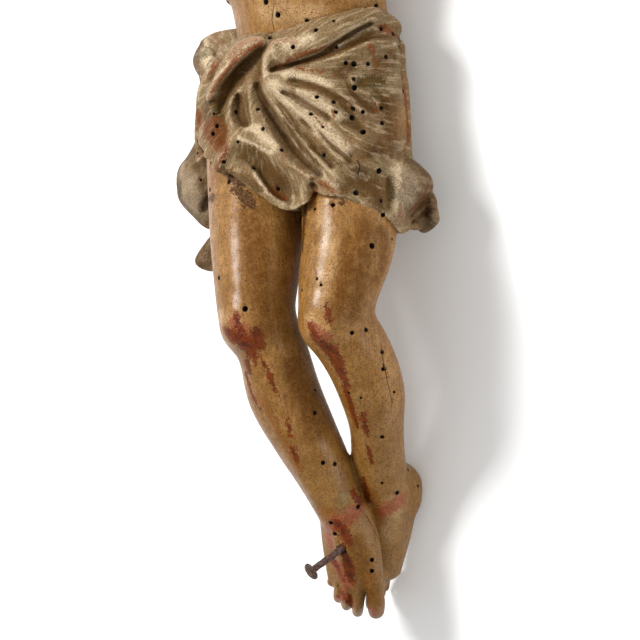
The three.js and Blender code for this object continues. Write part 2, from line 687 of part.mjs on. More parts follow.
// Loose ends of the cloth: two behind the right hip, a point below them and the flared hem on the left.
add(
  sheet([
    [[-8.4, 11.3, 5.6, 1.1], [-11.0, 11.6, 4.8, 1.0], [-13.2, 11.4, 4.1, 0.8]],
    [[-9.4, 9.4, 6.2, 1.4], [-11.6, 9.8, 5.5, 1.3], [-13.9, 9.8, 4.4, 0.8]],
    [[-10.4, 7.2, 6.6, 1.3], [-11.8, 7.5, 5.8, 1.1], [-12.8, 8.3, 4.9, 0.8]],
  ]),
  0.6,
);
add(
  sheet([
    [[-12.0, 1.0, 6.6, 1.2], [-14.0, 0.2, 5.6, 1.0], [-15.8, -0.8, 4.6, 0.7]],
    [[-12.0, -2.5, 6.0, 1.0], [-15.5, -2.4, 5.6, 1.0], [-18.2, -2.6, 3.9, 0.6]],
    [[-12.2, -6.0, 4.5, 0.9], [-15.8, -5.6, 5.0, 0.9], [-18.9, -5.2, 3.3, 0.55]],
    [[-12.6, -9.6, 2.8, 0.8], [-15.4, -8.8, 3.4, 0.8], [-17.4, -7.6, 2.8, 0.55]],
  ]),
  0.5,
);
add(
  sheet([
    [[-9.0, -7.0, 2.6, 1.0], [-13.0, -9.6, 2.8, 0.8], [-15.4, -10.6, 2.9, 0.6]],
    [[-9.5, -10.0, 2.2, 0.9], [-13.5, -12.0, 2.5, 0.7], [-18.0, -13.0, 2.5, 0.5]],
    [[-10.0, -12.0, 1.8, 0.7], [-13.5, -13.8, 2.0, 0.6], [-16.8, -13.9, 2.3, 0.5]],
  ]),
  0.5,
);
add(
  sheet([
    [[11.0, -4.4, 9.4, 1.0], [12.6, -5.4, 8.6, 0.9], [13.8, -6.6, 7.2, 0.6]],
    [[11.2, -8.0, 9.8, 0.9], [12.8, -8.4, 8.8, 0.8], [14.2, -8.4, 6.8, 0.5]],
    [[10.8, -11.2, 9.4, 0.7], [11.6, -11.4, 8.6, 0.6], [12.8, -10.6, 7.4, 0.5]],
  ]),
  0.5,
);
add(
  sheet([
    [[13.9, -7.0, 6.8, 0.55], [14.3, -9.4, 6.3, 0.5], [14.2, -11.6, 5.8, 0.5]],
    [[12.4, -6.5, 5.4, 0.8], [13.2, -9.6, 5.0, 0.7], [13.0, -12.0, 4.8, 0.6]],
    [[11.6, -6.5, 3.4, 0.8], [12.0, -9.6, 3.2, 0.7], [11.6, -12.2, 3.2, 0.6]],
  ]),
  0.5,
);
add(rod([[12.0, -6.5, 6.4, 1.3], [12.4, -9.2, 6.2, 1.35], [12.0, -11.4, 5.8, 1.0]]), 0.6); // inside the hem

// Legs: the right one lies over the left at the feet. Both knees are bent.
add(
  rod([
    [-6.0, 1, 7.2, 5.8], [-5.4, -6, 9.6, 5.6], [-4.6, -12, 12.4, 5.2], [-4.2, -17.5, 14.6, 4.5],
    [-4.1, -20.8, 15.4, 4.1],
  ]),
  0.3,
);
add(
  rod([
    [-3.7, -20.8, 15.2, 3.9], [-3.15, -24.5, 14.0, 3.85], [-3.3, -29, 12.2, 4.05], [-2.1, -33.5, 11.0, 3.7],
    [-0.6, -38, 10.0, 3.2], [0.6, -42.5, 9.5, 2.45],
  ]),
  0.6,
);
add(
  rod([
    [6.4, 0, 7.2, 5.8], [6.4, -7, 10.0, 5.4], [6.8, -13, 12.5, 5.1], [6.1, -18, 14.6, 4.4],
    [5.6, -21.5, 15.4, 3.9],
  ]),
  0.3,
);
add(
  rod([
    [5.6, -21.5, 15.2, 3.9], [6.8, -25.5, 13.2, 3.8], [6.9, -29.5, 11.0, 3.6], [6.0, -33.5, 8.9, 3.0],
    [4.6, -38, 6.6, 2.9], [4.3, -42, 5.2, 2.4],
  ]),
  0.6,
);
add(mass([-4.2, -20.6, 17.8], [2.2, 2.5, 1.9]), 1.2); // knee caps
add(mass([5.6, -21.2, 17.8], [2.2, 2.5, 1.9]), 1.2);

// Feet: the right foot, with its heel, then the left one behind it.
add(
  sheet([
    [[-0.8, -43.2, 9.0, 1.3], [-1.4, -46.5, 8.3, 1.1], [-1.7, -50.0, 7.8, 0.9]],
    [[1.0, -42.8, 9.6, 1.9], [1.2, -46.4, 9.0, 1.6], [0.9, -50.6, 8.2, 1.2]],
    [[2.4, -43.2, 8.6, 1.5], [2.9, -46.6, 8.0, 1.4], [3.1, -50.8, 8.0, 1.2]],
  ]),
  0.5,
);
add(
  rod([[0.4, -41.4, 8.6, 2.1], [0.8, -42.4, 6.8, 1.9], [1.4, -46.5, 6.9, 1.3], [1.2, -50.0, 6.9, 1.1]]),
  0.6,
);
for (const toe of [
  [[3.2, -50.8, 8.2, 1.2], [3.1, -53.0, 7.9, 1.05], [2.6, -54.1, 7.2, 0.95]],
  [[1.6, -51.2, 8.4, 0.85], [1.0, -53.1, 8.0, 0.8], [0.4, -54.0, 7.2, 0.75]],
  [[0.3, -51.0, 8.2, 0.8], [-0.3, -52.5, 8.0, 0.75], [-0.9, -53.3, 7.3, 0.7]],
  [[-0.8, -50.6, 8.0, 0.75], [-1.4, -51.8, 7.9, 0.7], [-1.8, -52.4, 7.4, 0.65]],
  [[-1.6, -49.6, 7.8, 0.7], [-2.2, -50.6, 7.7, 0.65]],
])
  add(rod(toe), 0.2);
add(
  sheet([
    [[3.0, -42.6, 5.2, 1.9], [2.0, -46.4, 5.2, 1.5], [0.6, -49.8, 4.8, 1.1]],
    [[4.5, -42.8, 4.6, 1.9], [3.6, -46.4, 4.2, 1.7], [2.4, -50.0, 3.6, 1.3]],
    [[5.1, -42.6, 3.2, 1.9], [4.0, -46.2, 2.6, 1.5], [2.6, -50.0, 2.4, 1.2]],
  ]),
  0.5,
);
add(
  rod([[5.2, -36.0, 6.0, 1.9], [4.8, -39.0, 4.2, 1.9], [5.0, -40.6, 2.2, 2.2], [4.9, -42.2, 2.1, 2.1]]),
  0.8,
);
for (const [x, z, r, y] of [
  [1.9, 5.2, 1.0, -53.6], [1.8, 4.2, 0.8, -53.6], [1.6, 3.2, 0.75, -53.2], [1.6, 2.3, 0.7, -52.8],
  [1.8, 1.5, 0.65, -52.2],
])
  add(
    rod([[x + 0.4, -50.4, z - 0.2, r], [x - 0.4, y + 1.2, z, r * 0.95], [x - 0.9, y, z - 0.3, r * 0.9]]),
    0.2,
  );

// Pieces.

const carved = reduce(surfaceOf(block), FIGURE_FACETS);
const wood = solid(carved.points.flat().map((v) => v * SHARE), carved.faces.flat());

// The wall of the cross, which planes the back of the hips flat.
const wall = new THREE.BoxGeometry(1.2 * STANDING_HEIGHT, 1.2 * STANDING_HEIGHT, 20 * SHARE);
wall.translate(0, 0, -10 * SHARE);

const nailPlace = new THREE.Matrix4()
  .makeRotationFromQuaternion(
    new THREE.Quaternion().setFromUnitVectors(
      new THREE.Vector3(0, 1, 0),
      new THREE.Vector3(...NAIL_RUN).normalize(),
    ),
  )
  .setPosition(...NAIL_ENTRY.map((v) => v * SHARE));

// A piece turned round the nail's own axis, from rows of radius and distance along it.
const turned = (rows) => {
  const profile = rows.map(([x, y]) => new THREE.Vector2(x, y));
  return solidOfGeometry(new THREE.LatheGeometry(profile, NAIL_SIDES).applyMatrix4(nailPlace));
};
const underHead = NAIL_OUT - NAIL_HEAD_THICKNESS;
const shank = (grow) => [
  [0, -NAIL_IN - grow],
  [NAIL_SHANK * 0.22 + grow, -NAIL_IN - grow],
  [NAIL_SHANK / 2 + grow, -NAIL_IN + 5],
  [NAIL_SHANK / 2 + grow, underHead],
];
const nailHead = [
  [NAIL_HEAD / 2, underHead - NAIL_RIM_DROP],
  [NAIL_HEAD / 2, NAIL_OUT - NAIL_HEAD_THICKNESS * 0.6],
  [NAIL_HEAD * 0.3, NAIL_OUT],
  [0, NAIL_OUT],
];
const bore = turned([...shank(NAIL_CLEARANCE), [0, underHead]]);

const corpus = new THREE.Mesh(
  geometryOf(wood.subtract(solidOfGeometry(wall)).subtract(bore)),
  new THREE.MeshStandardMaterial({ color: 0xb08d5c, roughness: 0.55 }),
);
corpus.name = "corpus";

const nail = new THREE.Mesh(
  geometryOf(turned([...shank(0), ...nailHead])),
  new THREE.MeshStandardMaterial({ color: 0x3c322c, roughness: 0.7, metalness: 0.6 }),
);
nail.name = "foot_nail";

const figure = new THREE.Group();
figure.name = "crucifix_corpus";
figure.add(corpus, nail);
export default figure;
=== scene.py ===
import math

import bmesh
import bpy
import numpy as np
import openvdb
from mathutils import Euler, Matrix, Vector
from mathutils.bvhtree import BVHTree


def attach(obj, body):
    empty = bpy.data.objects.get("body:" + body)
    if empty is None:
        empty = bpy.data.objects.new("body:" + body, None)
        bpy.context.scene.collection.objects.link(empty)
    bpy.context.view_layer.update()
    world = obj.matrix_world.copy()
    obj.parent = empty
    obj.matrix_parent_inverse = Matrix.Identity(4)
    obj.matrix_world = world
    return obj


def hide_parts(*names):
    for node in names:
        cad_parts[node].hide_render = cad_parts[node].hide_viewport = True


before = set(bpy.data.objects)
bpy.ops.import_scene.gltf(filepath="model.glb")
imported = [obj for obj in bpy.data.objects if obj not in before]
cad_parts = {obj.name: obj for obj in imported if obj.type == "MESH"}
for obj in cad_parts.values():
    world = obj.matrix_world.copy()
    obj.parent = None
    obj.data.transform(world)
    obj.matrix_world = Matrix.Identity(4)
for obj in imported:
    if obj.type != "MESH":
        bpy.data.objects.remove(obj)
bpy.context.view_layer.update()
bpy.ops.object.select_all(action="DESELECT")

# The wooden figure, first its body. The real one is lime wood, carved in the round with gouges and planed
# flat at the back of the hips. Here, rounded forms are added and cut on a fine grid, so that they run into
# each other as carved wood does. Lengths are shares, hundredths of the figure's standing height.
SHARE = 0.00333


def ruler(low, high, *close):
    """Grid marks from low to high, closer together in the stretches that are given."""
    marks = [low]
    while marks[-1] < high:
        step = min([s for a, b, s in close if a <= marks[-1] < b], default=0.3)
        marks.append(marks[-1] + step * 1)
    return np.array(marks, np.float32)


RULERS = [  # across the figure, along it and towards the viewer
    ruler(-48, 48, (-20, 16, 0.19), (-10, 5, 0.16)),
    ruler(-58, 56, (-56, -40, 0.2), (-16, 12, 0.18), (29, 49, 0.16)),
    ruler(-2.5, 21, (-2.5, 21, 0.2)),
]


def soft_min(a, b, k):
    h = np.maximum(k - np.abs(a - b), 0)
    return np.minimum(a, b) - h * h / (4 * k)


class Layer:
    """How far each mark of the grid is from a surface, negative inside the wood."""

    def __init__(self):
        self.far = np.full([len(r) for r in RULERS], 9, np.float32)

    def work(self, form, reach, mix):
        low, high, distance = form
        part = tuple(
            slice(*np.searchsorted(r, [a - reach, b + reach])) for r, a, b in zip(RULERS, low, high)
        )
        marks = np.meshgrid(*[r[s] for r, s in zip(RULERS, part)], indexing="ij", sparse=True)
        if all(m.size for m in marks):
            self.far[part] = mix(self.far[part], distance(*marks))

    def add(self, form, blend=0.6):
        self.work(form, blend, lambda a, b: soft_min(a, b, blend))

    def cut(self, form, blend=0.4):
        self.work(form, blend, lambda a, b: -soft_min(-a, b, blend))


def through(rows, t):
    """The value at t, from 0 to 1, of a smooth curve through rows of numbers."""
    rows = np.asarray(rows, float)
    last = len(rows) - 1
    i = min(last - 1, int(t * last))
    f = t * last - i
    a, b, c, d = (rows[min(last, max(0, n))] for n in (i - 1, i, i + 1, i + 2))
    return b + 0.5 * f * (c - a + f * (2 * a - 5 * b + 4 * c - d + f * (3 * (b - c) + d - a)))


def ends(balls):
    balls = np.asarray(balls)
    return (balls[:, :3] - balls[:, 3:]).min(0), (balls[:, :3] + balls[:, 3:]).max(0)


def rod(points, parts=6):
    """A limb, a fold or a lock of hair, through points of x, y, z and radius."""
    count = 1 if len(points) == 2 else parts * (len(points) - 1)
    balls = [through(points, i / count) for i in range(count + 1)]

    def distance(x, y, z):
        near = 9
        for a, b in zip(balls, balls[1:]):
            run = b - a
            t = (x - a[0]) * run[0] + (y - a[1]) * run[1] + (z - a[2]) * run[2]
            t = np.clip(t / (run[:3] @ run[:3] + 1e-9), 0, 1)
            off = (x - a[0] - t * run[0]) ** 2 + (y - a[1] - t * run[1]) ** 2 + (z - a[2] - t * run[2]) ** 2
            near = np.minimum(near, np.sqrt(off) - a[3] - t * run[3])
        return near

    return *ends(balls), distance


def sheet(net, parts=6):
    """A loose end of cloth or the palm of a hand, a net of points of x, y, z and half thickness."""
    across, down = parts * (len(net[0]) - 1), parts * (len(net) - 1)
    lines = [[through(row, i / across) for row in net] for i in range(across + 1)]
    balls = [through(line, j / down) for line in lines for j in range(down + 1)]

    def distance(x, y, z):
        near = np.full(np.broadcast_shapes(x.shape, y.shape, z.shape), 3, np.float32)
        for cx, cy, cz, r in balls:
            part = tuple(
                slice(*np.searchsorted(m.ravel(), [c - r - 0.7, c + r + 0.7]))
                for m, c in ((x, cx), (y, cy), (z, cz))
            )
            off = (x[part[0]] - cx) ** 2 + (y[:, part[1]] - cy) ** 2 + (z[:, :, part[2]] - cz) ** 2
            near[part] = np.minimum(near[part], np.sqrt(off) - r)
        return near

    return *ends(balls), distance


def mass(centre, radii, turn=(0, 0, 0)):
    """A muscle or another rounded mass, turned by degrees, or by a matrix."""
    if not isinstance(turn, Matrix):
        turn = Euler([math.radians(a) for a in turn], "ZYX").to_matrix()
    rows = np.array(turn.to_3x3().transposed())
    size = np.array(radii, float)

    def distance(x, y, z):
        at = [r[0] * (x - centre[0]) + r[1] * (y - centre[1]) + r[2] * (z - centre[2]) for r in rows]
        k0 = np.sqrt(sum((p / s) ** 2 for p, s in zip(at, size)))
        k1 = np.sqrt(sum((p / s**2) ** 2 for p, s in zip(at, size)))
        return np.where(k1 < 1e-6, -size.min(), k0 * (k0 - 1) / np.maximum(k1, 1e-6))

    return *ends([[*centre, size.max()]]), distance


class Trunk:
    """A trunk along Y, through rings of y, centre x, centre z, half width and half depth."""

    def __init__(self, rings):
        self.table = np.array([through(rings, i / 80) for i in range(81)])
        self.y = rings[0][0], rings[-1][0]
        rings = np.array(rings)
        self.low = (rings[:, 1] - rings[:, 3]).min(), self.y[0], (rings[:, 2] - rings[:, 4]).min()
        self.high = (rings[:, 1] + rings[:, 3]).max(), self.y[1], (rings[:, 2] + rings[:, 4]).max()

    def ring(self, y):
        marks = np.linspace(*self.y, 81)
        return [np.interp(y, marks, self.table[:, n]) for n in range(1, 5)]

    def distance(self, x, y, z):
        cx, cz, rx, rz = self.ring(y)
        k0 = np.sqrt(((x - cx) / rx) ** 2 + ((z - cz) / rz) ** 2)
        k1 = np.sqrt(((x - cx) / rx**2) ** 2 + ((z - cz) / rz**2) ** 2)
        side = k0 * (k0 - 1) / np.maximum(k1, 1e-6)
        return np.maximum(np.maximum(side, self.y[0] - y), y - self.y[1])

    def form(self):
        return self.low, self.high, self.distance

    def angle(self, x, y, z):
        cx, cz, rx, rz = self.ring(y)
        return np.degrees(np.arctan2((z - cz) / rz, (x - cx) / rx)) % 360


def joined(forms, blend):
    def distance(x, y, z):
        found = [f[2](x, y, z) for f in forms]
        for other in found[1:]:
            found[0] = soft_min(found[0], other, blend)
        return found[0]

    low, high = np.array([f[0] for f in forms]).min(0), np.array([f[1] for f in forms]).max(0)
    return low, high, distance


def edge(heights):
    """An edge round a trunk: y at evenly spaced angles, joined smoothly."""
    rows = [[h] for h in [*heights, heights[0]]]
    table = [through(rows, i / 360)[0] for i in range(361)]
    return lambda angle: np.interp(angle, np.arange(361), table)


def between(form, core, lower, upper):
    """The part of a form between two edges round a trunk."""

    def distance(x, y, z):
        angle = core.angle(x, y, z)
        return np.maximum(np.maximum(form[2](x, y, z), lower(angle) - y), y - upper(angle))

    return form[0], form[1], distance


def finder(form, core):
    """Finds points on a form, from rows of angle round the core, y and radius, all raised by lift."""

    def find(rows, lift):
        angle, y, r = np.array(rows, float).T
        cx, cz, rx, rz = core.ring(y)
        c, s = rx * np.cos(np.radians(angle)), rz * np.sin(np.radians(angle))
        c, s = c / np.hypot(c, s), s / np.hypot(c, s)
        out = 2 * rx
        for _ in range(60):
            out = out - 0.7 * form[2](cx + c * out, y, cz + s * out)
        return np.stack([cx + c * (out + lift), y, cz + s * (out + lift), r], 1)

    return find


flesh = Layer()
torso = Trunk([
    (-7, 0.2, 6.8, 9.2, 5.8),
    (0, -0.4, 6.8, 11.2, 6.8),
    (6, 0.6, 6.6, 10.4, 6.4),
    (12, 1.8, 6.4, 9.2, 5.8),
    (18, 1.7, 6.6, 9.3, 6.3),
    (24, 1.3, 6.9, 10.5, 6.9),
    (29, 1.0, 6.6, 10.0, 6.0),
    (33.5, 0.6, 6.6, 6.4, 3.8),
])
flesh.add(torso.form(), 1)
on_torso = finder(torso.form(), torso)
flesh.add(mass((1.6, 12, 8.6), (6.2, 6.0, 4.2)), 2)  # belly
for side in (-1, 1):

    def muscle(*rows):
        return rod([(middle + side * x, *rest) for middle, x, *rest in rows])

    flesh.add(muscle((1, 1.8, 26, 11.8, 2.0), (1, 5.6, 27, 11.0, 2.7), (0.8, 10.5, 30.5, 8.4, 2.4)), 1.5)
    flesh.add(muscle((1, 8.2, 19, 5.6, 2.4), (0.8, 9.6, 25, 5.4, 2.8), (0.4, 12.6, 31, 5.6, 2.4)), 1.5)
    blade = 0.8 + side * 5.4, 25.4, 2.5
    flesh.add(mass(blade, (3.4, 4.8, 2.7), (0, 0, side * 12)), 1.5)
    flesh.add(muscle((0.4, 0, 35, 7.6, 2.2), (0.5, 3.5, 33.4, 7.2, 2.4), (0.4, 9.5, 33, 6.5, 2.4)), 1.5)
    collar = (0.8, 1.2, 31.2, 10.6, 0.7), (0.6, 5, 32.4, 10.0, 0.6), (0.4, 9, 33.4, 8.8, 0.8)
    flesh.add(muscle(*collar), 0.6)
    for n, y in enumerate((15.8, 17.6, 19.4, 21.2, 23.0)):  # ribs
        row = [(90 - side * (90 - a), y + 0.045 * (a - 15), 0.45) for a in (12, 25, 40, 56 + 2 * n)]
        flesh.add(rod(on_torso(row, 0.02)), 0.7)
    ribs = [(90 - side * 37, 17.0, 0.6), (90 - side * 22, 20.2, 0.6), (90 - side * 5, 22.6, 0.6)]
    flesh.cut(rod(on_torso(ribs, 0.35)), 0.9)
    nipple = on_torso([(90 - side * 27, 26.2, 0.3)], 0.9)[0]
    flesh.add(mass(nipple[:3], (0.42, 0.42, 0.3)), 0.4)
flesh.cut(rod(on_torso([(90, 17.6, 0.3), (90, 19, 0.5), (90, 22.5, 0.5), (90, 28, 0.6)], 0.45)), 1.0)
flesh.cut(rod(on_torso([(270, 12, 0.9), (270, 20, 0.9), (270, 31, 0.9)], 0.5)), 0.9)  # spine
flesh.cut(mass((1.6, 15.6, 12.9), (0.4, 0.6, 0.7)), 0.4)  # navel
flesh.cut(rod([(1.0, 31.6, 11.6, 0.7), (1.0, 33, 10.6, 0.6)]), 0.8)  # hollow of the throat

# Arms, raised to both sides, with the palms to the front.
for side in (-1, 1):

    def arm(rows):
        return [(side * x, *rest) for x, *rest in rows]

    elbow = 25, 39.2, 4.6, 2.3
    upper = (10.5, 30, 6.4, 3.5), (13.5, 32, 6.2, 3.6), (18, 34.8, 5.8, 3.1), (22, 37.3, 5.2, 2.7)
    flesh.add(rod(arm([*upper, elbow])), 1.5)
    lower = (28.4, 41.6, 4.1, 2.5), (33, 44.8, 3.0, 1.9), (37, 47.4, 1.9, 1.4)
    flesh.add(rod(arm([elbow, *lower])), 1)
    flesh.add(rod(arm([(14.5, 32.6, 7.6, 1.9), (18.5, 35.2, 7.2, 1.7), (22.5, 37.8, 5.9, 1.2)])), 1.2)
    flesh.add(rod(arm([(26.0, 39.2, 5.4, 1.3), (29, 41.2, 5.2, 1.3), (33, 44.2, 3.8, 0.9)])), 1.2)
    flesh.cut(rod(arm([(12.0, 34.6, 8.9, 0.45), (14.6, 34.4, 9.6, 0.45), (16.6, 33.4, 9.6, 0.4)])), 0.9)
    flesh.cut(rod(arm([(24.2, 40.2, 6.9, 0.35), (25.2, 38.6, 7.1, 0.35)])), 0.9)  # bend of the elbow
    for x, y in ((35.4, 46.8), (36.2, 46.2)):  # tendons of the wrist
        flesh.add(rod(arm([(x - 3, y - 2, 3.6, 0.35), (x + 0.6, y + 0.4, 2.7, 0.3)])), 0.5)
    palm = [
        arm([(36.4, 47.8, 1.8, 1.2), (38.4, 50.3, 1.1, 0.9), (40.6, 52.6, 0.8, 0.8)]),
        arm([(37.2, 47.2, 1.8, 1.3), (39.6, 49.0, 0.9, 0.9), (41.9, 51.0, 0.6, 0.8)]),
        arm([(37.6, 46.4, 1.6, 1.2), (40.4, 47.4, 1.0, 1.0), (43.0, 49.2, 0.8, 0.8)]),
    ]
    flesh.add(sheet(palm, 8), 0.8)
    flesh.cut(mass((side * 40.0, 49.9, 2.6), (1.5, 1.1, 1.0)), 0.7)
    for x, y, bend in ((40.6, 52.8, 0), (41.7, 51.7, 0.3), (42.6, 50.6, 0.6), (43.2, 49.4, 0.9)):
        finger = arm([
            (x, y, 0.9, 0.72),
            (x + 1.1, y + 0.75 - bend / 2, 1.05, 0.62),
            (x + 2.2, y + 1.4 - bend, 1.4, 0.7),
            (x + 2.9, y + 1.85 - 1.5 * bend, 2.1, 0.56),
            (x + 3.5, y + 2.2 - 2 * bend, 2.9, 0.6),
        ])
        flesh.add(rod(finger), 0.25)
    thumb = (37.6, 49.2, 1.4, 1), (37.9, 51.6, 2.3, 0.85), (38.5, 52.6, 2.8, 0.66), (39.2, 53.4, 3.2, 0.68)
    flesh.add(rod(arm(thumb)), 0.5)

# Neck, head, hair and beard, bowed forward to the figure's right. Inside the head, points are given to its
# left, up, and to its face. The face is an ideal one, with closed eyes.
bowed = Matrix.LocRotScale((-2.4, 37.6, 11.4), Euler([math.radians(a) for a in (24, -12, 20)], "YXZ"), None)


def head(rows):
    return [(*(bowed @ Vector(row[:3])), row[3]) for row in rows]


def on_head(place, radii):
    return mass(bowed @ Vector(place), radii, bowed)


hair = Layer()
flesh.add(rod([(0.6, 29.5, 6.8, 3.4), (0, 32.5, 7.8, 2.8), (-1.4, 35.4, 9.4, 2.8)]), 1.5)
flesh.add(on_head((0, 1.6, -0.6), (4.3, 4.9, 5.2)), 1)
flesh.add(on_head((0, -2.3, 1.2), (3.3, 4.3, 3.7)), 0.8)
for side in (-1, 1):

    def half(rows):
        return head([(side * x, *rest) for x, *rest in rows])

    neck = [(2.6, -3.2, -2.6, 0.7), (1.6, -6.6, -0.6, 0.6), (0.5, -9.0, 1.2, 0.5)]
    flesh.add(rod(half(neck)), 0.8)
    flesh.cut(on_head((side * 1.75, 0.55, 5.0), (1.15, 0.72, 1.0)), 0.6)
    flesh.add(on_head((side * 1.7, 0.3, 3.75), (1.0, 0.62, 0.8)), 0.15)
    lid = [(0.75, 0.16, 4.5, 0.13), (1.25, -0.06, 4.72, 0.15)]
    lid += [(1.8, -0.1, 4.62, 0.15), (2.5, 0.12, 4.1, 0.13)]
    flesh.cut(rod(half(lid)), 0.15)
    brow = (0.45, 1.2, 4.7, 0.34), (1.2, 1.5, 4.75, 0.36), (2.2, 1.5, 4.2, 0.34), (3.1, 0.9, 3.2, 0.3)
    flesh.add(rod(half(brow)), 0.4)
    flesh.add(on_head((side * 2.2, -1.2, 3.15), (1.05, 1.0, 0.9)), 0.9)
    flesh.add(on_head((side * 0.55, -1.25, 5.0), (0.38, 0.36, 0.5)), 0.2)
    flesh.cut(on_head((side * 0.3, -1.62, 5.35), (0.16, 0.14, 0.24)), 0.12)
    lip = (0.12, -1.9, 5.25, 0.26), (0.9, -2.15, 5.0, 0.36), (1.7, -2.8, 4.4, 0.36), (2.2, -3.9, 3.6, 0.24)
    hair.add(rod(half(lip)), 0.2)
    for k in range(6):  # beard, in curled locks
        a, turn = k / 5, 0.35 * (-1) ** k
        lock = [
            (3.35 - 2.9 * a, -1.6 - 1.9 * a, 2.0 + 2.7 * a, 0.62),
            (3.0 - 2.2 * a + turn, -3.3 - 1.1 * a, 2.8 + 2.0 * a, 0.66),
            (2.2 - 1.5 * a - turn, -5.0 - 0.5 * a, 3.3 + 1.3 * a, 0.58),
            (1.35 - 0.8 * a, -6.5 - 0.5 * a, 3.7 + 0.7 * a, 0.34),
        ]
        hair.add(rod(half(lock)), 0.16)
    for k in range(9):  # hair, combed from the parting to the shoulders
        a, turn = k / 8, 0.28 * (-1) ** k
        over = math.radians(38 + 92 * a)
        parting = over + 0.3 * (1 - a)
        lock = [
            (0.22, 1.7 + 5.1 * math.sin(parting), 5.4 * math.cos(parting) - 0.5, 0.55),
            (2.4, 1.6 + 4.3 * math.sin(over), 4.5 * math.cos(over) - 0.5, 0.7),
            (4.2 - 0.4 * a + turn, 2.0 + 0.8 * a, 1.9 - 6.4 * a, 0.74),
            (4.75 - 0.7 * a - turn, 0.2, 1.3 - 6.2 * a, 0.76),
            (4.6 - 0.8 * a + turn, -2.8, 0.6 - 5.2 * a, 0.74),
            (4.4 - 1.0 * a, -6.3 + 0.5 * math.sin(3 * k), -0.2 - 4.0 * a, 0.42),
        ]
        hair.add(rod(half(lock)), 0.14)
hair.add(on_head((0, 1.0, -1.8), (4.6, 5.45, 4.7)), 0.3)
hair.add(rod(head([(0, -3.2, 3.6, 1.3), (0, -5.6, 4.0, 1.1)])), 0.3)
for s in (-2.6, -1.3, 0, 1.3, 2.6):  # hair down the neck
    lock = (0.5 * s, 6.0, -2.6, 0.6), (s, 2.6, -6.0, 0.9), (1.1 * s, -2.2, -5.8, 0.95), (s, -6.0, -4.4, 0.6)
    hair.add(rod(head(lock)), 0.2)
nose = (0, 1.3, 4.5, 0.36), (0, 0.2, 5.0, 0.36), (0, -0.7, 5.5, 0.42), (0, -1.15, 5.65, 0.52)
flesh.add(rod(head(nose)), 0.35)
flesh.add(rod(head([(-0.9, -2.75, 4.75, 0.2), (0, -2.6, 5.05, 0.26), (0.9, -2.75, 4.75, 0.2)])), 0.15)
flesh.add(rod(head([(-0.7, -3.2, 4.75, 0.22), (0, -3.25, 4.98, 0.32), (0.7, -3.2, 4.75, 0.22)])), 0.15)

# The loincloth, carved from the same block: hips and thighs thickened between a waist line and a hem, then
# folds that fan out from a knot over the right hip, and loose ends that stand off behind the hips.
cloth = Layer()
hips = Trunk([
    (-13, -0.4, 7.2, 12.2, 7.8),
    (-7, -0.65, 7.2, 12.35, 8.2),
    (0, -0.65, 7.2, 12.25, 8.0),
    (5, 0.25, 7.0, 11.85, 7.6),
    (9, 0.95, 6.7, 11.45, 7.0),
    (13.5, 1.4, 6.5, 9.9, 6.5),
])
right_thigh = rod([(-6.0, 1, 7.6, 6.0), (-5.4, -6, 9.8, 6.4), (-4.6, -12, 12.6, 6.0)])
left_thigh = rod([(5.6, 1, 7.6, 5.8), (6.0, -7, 10.2, 5.9), (6.5, -13, 12.7, 5.7)])
draped = joined([hips.form(), right_thigh, left_thigh], 2)
waist_line = edge([
    10.9, 11.6, 12.0, 11.9, 11.7, 11.5, 11.3, 11.0, 10.6, 10.3, 10.0, 10.1, 10.3, 10.2, 10.0, 9.8, 9.6,
    9.4, 9.2, 9.1, 9.1, 9.2, 9.3, 9.4, 9.5, 9.6, 9.7, 9.8, 9.9, 10, 10, 10.1, 10.2, 10.3, 10.4, 10.6,
])
hem_line = edge([
    -12.2, -12.5, -12.6, -12.0, -10.4, -9.4, -8.2, -8.2, -8.8, -7.7, -6.1, -4.5, -2.9, -1.6, -0.7, -0.3,
    -0.6, -1.6, -3.0, -4.6, -6.4, -8.0, -9.0, -9.8, -10.1, -10.2, -10.1, -9.9, -9.8, -9.8, -10.0, -10.4,
    -10.9, -11.4, -11.8, -12.0,
])
on_cloth = finder(draped, hips)
cloth.add(between(draped, hips, hem_line, waist_line), 0.5)

# The rolls at the waist and over the right hip, and shallow folds at the back: how far they are raised,
# then angle, y and radius along each.
front_roll = (76, 9.2, 1.35), (58, 9.9, 1.35)
left_roll = (24, 10.7), (8, 10.5), (-15, 9.7), (-50, 9), (-90, 8.6), (-170, 8.2)
for lift, *row in (
    (-0.6, (96, 8, 0.9), (86, 8.7, 1.3), *front_roll, (37, 10.7, 1.3), (20, 10.8, 1.3)),
    (-0.5, *((angle, y, 1.05) for angle, y in left_roll)),
    (0, (98, 9.6, 0.7), (104, 9.3, 1), (112, 8.9, 1.1), (120, 8, 1), (126, 6.4, 0.8), (128, 3.2, 0.6)),
    (-0.1, (105, -0.6, 0.4), (110, -1.8, 0.6), (113, -3.2, 0.5)),
    (-0.35, (150, 8, 0.9), (158, 3, 0.9), (165, -1.5, 0.8)),
    (-0.35, (200, 8.2, 0.9), (205, 2, 0.9), (208, -5, 0.8)),
    (-0.3, (340, 8, 0.9), (345, 2, 0.8), (348, -5, 0.8)),
    (-0.3, (328, 6, 0.8), (332, 0, 0.9), (330, -8, 0.8)),
):
    cloth.add(rod(on_cloth(row, lift)), 0.45)

